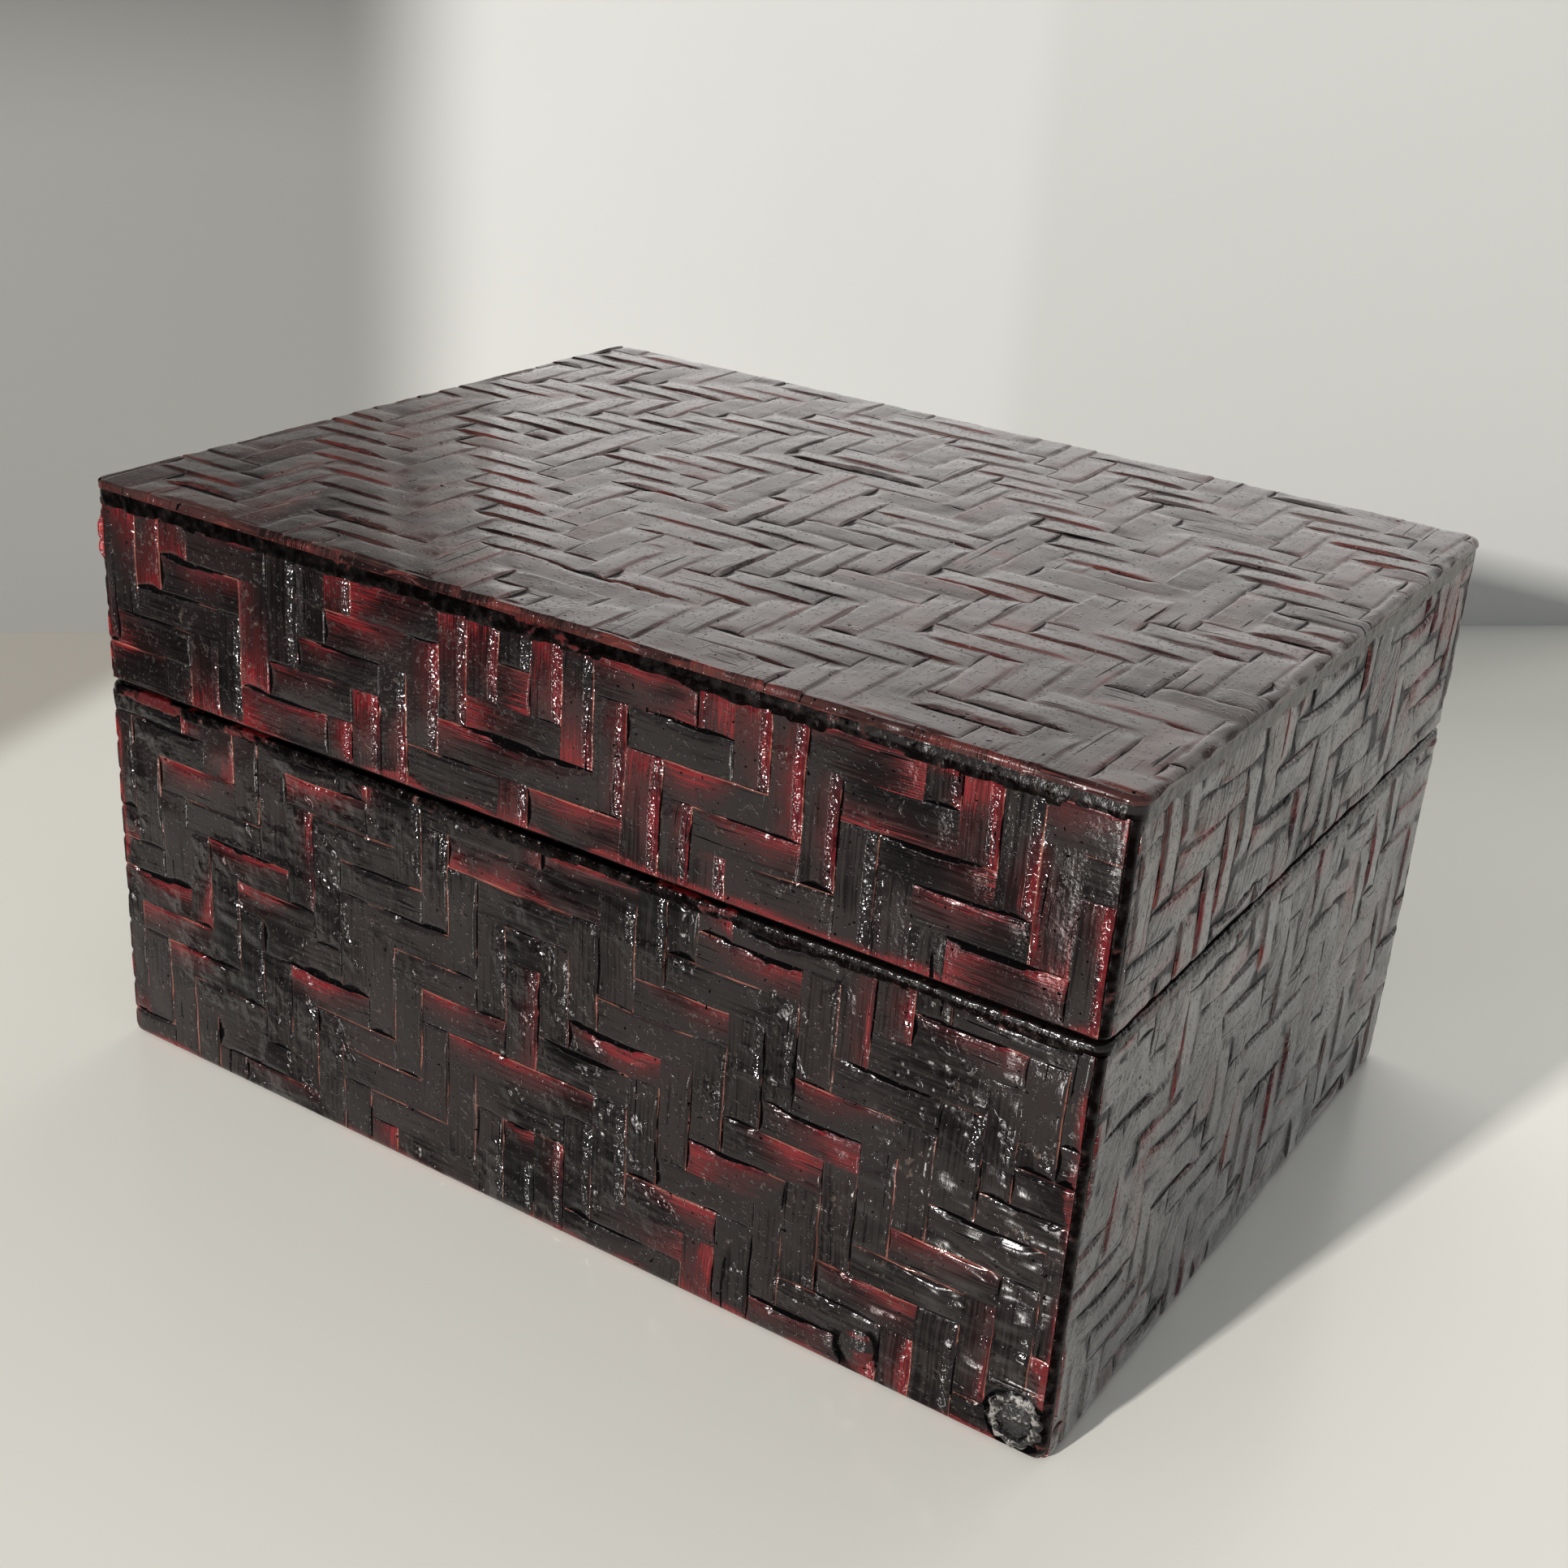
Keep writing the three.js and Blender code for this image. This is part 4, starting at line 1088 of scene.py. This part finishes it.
def disc(name, place, spread, profile, finish, wobble):
    """A round relief on the front: rings of points from a spun profile of (radius, height)."""
    profile = [(radius * mm, height * mm) for radius, height in profile]
    bump = bmesh.new()
    bmesh.ops.create_circle(bump, segments=disc_segments, radius=profile[0][0], cap_ends=False)
    loop = list(bump.edges)
    for vert in bump.verts:
        vert.co.z = profile[0][1]
    for (radius, height), (last_radius, last_height) in zip(profile[1:], profile):
        made = bmesh.ops.extrude_edge_only(bump, edges=loop)["geom"]
        verts = [part for part in made if isinstance(part, bmesh.types.BMVert)]
        loop = [part for part in made if isinstance(part, bmesh.types.BMEdge) and not part.is_manifold]
        loop = [edge for edge in loop if edge.verts[0] in verts and edge.verts[1] in verts]
        bmesh.ops.scale(bump, vec=(radius / last_radius, radius / last_radius, 1), verts=verts)
        bmesh.ops.translate(bump, vec=(0, 0, height - last_height), verts=verts)
    bmesh.ops.holes_fill(bump, edges=[edge for edge in bump.edges if edge.is_boundary], sides=0)
    bmesh.ops.recalc_face_normals(bump, faces=bump.faces)
    for vert in bump.verts:
        across, up, out = vert.co
        rough = 1 + wobble * dice[int(math.degrees(math.atan2(up, across))) % dice_size, 7, 2]
        vert.co = Vector((across * spread[0] * rough, up * spread[1] * rough, out))
    mesh = bpy.data.meshes.new(name)
    bump.to_mesh(mesh)
    bump.free()
    centre = (place[0], -peg_end_back, place[1])
    mesh.transform(Matrix.Translation(centre) @ Matrix.Rotation(math.pi / 2, 4, "X"))
    mesh.polygons.foreach_set("use_smooth", [len(face.vertices) == 4 for face in mesh.polygons])
    put_on("base", name, mesh, finish)


broken_black = paint(12, 10, 10)
flake_grey = paint(122, 118, 114)
crumb_size = (1300, 1300, 1300)
flake_size = (420, 420, 420)
crumb_depth = 0.3 * mm
flake_depth = 0.5 * mm


def broken_finish(name, flake_share):
    """Broken lacquer: black, with grey flakes standing out of it."""
    broken = Finish(name)
    crumbs = broken.cloud(broken.place(crumb_size), detail=4.0)
    flakes = broken.cloud(broken.place(flake_size))
    pale = (crumbs * 0.5 + flakes * 0.6).rise(0.72 - flake_share, 0.80 - flake_share)
    broken.colour(broken.blend(broken_black, flake_grey, pale), 0.14 + pale * 0.2)
    broken.relief(crumbs * crumb_depth + flakes * flake_depth)
    return broken.material


drop_bead = trim_lacquer("drop_bead", 0.24, paint(60, 14, 16), 0.36 * mm, darkness=0.0)
chipped_rim = broken_finish("chipped_rim", 0.19)
peg_core = broken_finish("peg_core", 0.12)

bead_steps = [(4.4, 0.0), (4.1, 0.30), (3.6, 0.66), (3.0, 0.97), (2.3, 1.20), (1.3, 1.36), (0.3, 1.39)]
rim_steps = [(4.9, 0.2), (4.8, 0.75), (4.4, 1.10), (4.0, 1.33), (3.6, 1.37), (3.3, 1.25)]
rim_steps += [(3.1, 0.9), (3.0, 0.3), (1.5, 0.1)]
core_steps = [(3.2, 0.1), (3.1, 0.9), (2.5, 0.7), (2.1, 0.95), (1.5, 0.75), (0.9, 0.95), (0.3, 0.85)]
disc("peg_bead", peg_bead_place, (0.9, 1.05), bead_steps, drop_bead, wobble=0.02)
disc("peg_rim", peg_core_place, (0.98, 1.06), rim_steps, chipped_rim, wobble=0.12)
disc("peg_core", peg_core_place, (0.98, 1.06), core_steps, peg_core, wobble=0.16)


# Floor, wall and light
# The box stands on a pale glossy shelf in front of a pale wall. A small warm lamp in front gives the
# highlights and the shadow, and a wide one at the wall gives the sheen on the top.

wall_angle = math.radians(43.98)
wall_foot = Vector((-0.2819, 0.0535, 0))
along_wall = Vector((math.cos(wall_angle), math.sin(wall_angle), 0))

shelf = bmesh.new()
bmesh.ops.create_grid(shelf, x_segments=1, y_segments=1, size=2)
shelf_mesh = bpy.data.meshes.new("shelf")
shelf.to_mesh(shelf_mesh)
shelf.free()
shelf_piece = bpy.data.objects.new("shelf", shelf_mesh)
wall_mesh = shelf_mesh.copy()
upright_wall = Matrix.Rotation(wall_angle, 4, "Z") @ Matrix.Rotation(math.pi / 2, 4, "X")
wall_mesh.transform(Matrix.Translation(wall_foot) @ upright_wall)
wall_piece = bpy.data.objects.new("wall", wall_mesh)

shelf_whites = (paint(231, 229, 221), paint(237, 235, 227))
shelf_shades = (paint(112, 109, 104), paint(180, 174, 165))
shelf_finish = Finish("shelf_gloss")
shelf_x = shelf_finish.along("X")
shelf_y = shelf_finish.along("Y")
shelf_pale = shelf_finish.blend(*shelf_whites, shelf_finish.cloud(shelf_finish.place((5, 5, 5))))
shelf_shade = shelf_finish.blend(*shelf_shades, shelf_y.rise(-0.16, -0.10))
shelf_lit = (shelf_x + shelf_y * 0.25).rise(-0.240, -0.218)
shelf_finish.colour(shelf_finish.blend(shelf_shade, shelf_pale, shelf_lit), 0.22)
shelf_mesh.materials.append(shelf_finish.material)

wall_whites = (paint(208, 208, 205), paint(216, 216, 214))
wall_right_shade = paint(205, 205, 202)
wall_shades = (paint(141, 141, 138), paint(80, 80, 79))
wall_finish = Finish("wall_plaster")
wall_x = wall_finish.along("X")
pale = wall_finish.blend(*wall_whites, wall_finish.cloud(wall_finish.place((8, 8, 8))))
# Painted shade: the wall is a little darker toward its right.
pale = wall_finish.blend(pale, wall_right_shade, wall_x.rise(-0.088, -0.076))
shaded = wall_finish.blend(*wall_shades, wall_finish.along("Z").rise(0.13, 0.22))
wall_finish.colour(wall_finish.blend(shaded, pale, wall_x.rise(-0.222, -0.19)), 0.8)
behind = wall_finish.add("ShaderNodeNewGeometry", {}, {}, "Backfacing")
clear = wall_finish.add("ShaderNodeBsdfTransparent", {}, {})
front = Amount(wall_finish, wall_finish.surface.outputs[0])
two_sides = {"Fac": behind, "Shader": front, "Shader_001": clear}
one_sided = wall_finish.add("ShaderNodeMixShader", {}, two_sides)
wall_finish.feed(wall_finish.tree.nodes["Material Output"], {"Surface": one_sided})
wall_mesh.materials.append(wall_finish.material)
for piece in (shelf_piece, wall_piece):
    bpy.context.scene.collection.objects.link(piece)


def soft_lamp(name, place, aim, width, height, power, colour):
    lamp = bpy.data.lights.new(name, "AREA")
    lamp.shape = "RECTANGLE"
    lamp.size = width
    lamp.size_y = height
    lamp.energy = power
    lamp.color = colour
    stand = bpy.data.objects.new(name, lamp)
    bpy.context.scene.collection.objects.link(stand)
    stand.location = place
    stand.rotation_euler = (Vector(aim) - Vector(place)).to_track_quat("-Z", "Y").to_euler()
    stand.visible_camera = False


warm_white = (1.0, 0.97, 0.93)
white = (1.0, 1.0, 1.0)
sun_from = Vector((-0.158, -0.935, 0.316))
sun_distance = 3
box_middle = Vector((0, 0, 0.08))
key_place = box_middle + sun_from * sun_distance
soft_lamp("key_lamp", key_place, box_middle, width=0.12, height=0.12, power=121, colour=warm_white)
sheen_place = wall_foot + along_wall * 0.52 + Vector((0.05, -0.05, 0.5))
sheen_aim = sheen_place + Vector((0.694, -0.72, 0))
soft_lamp("sheen_lamp", sheen_place, sheen_aim, width=0.8, height=0.8, power=1.1, colour=white)

world = bpy.data.worlds.new("studio")
bpy.context.scene.world = world
world.use_nodes = True
room_light = world.node_tree.nodes["Background"]
room_light.inputs["Color"].default_value = (0.92, 0.96, 1.0, 1.0)
room_light.inputs["Strength"].default_value = 0.35
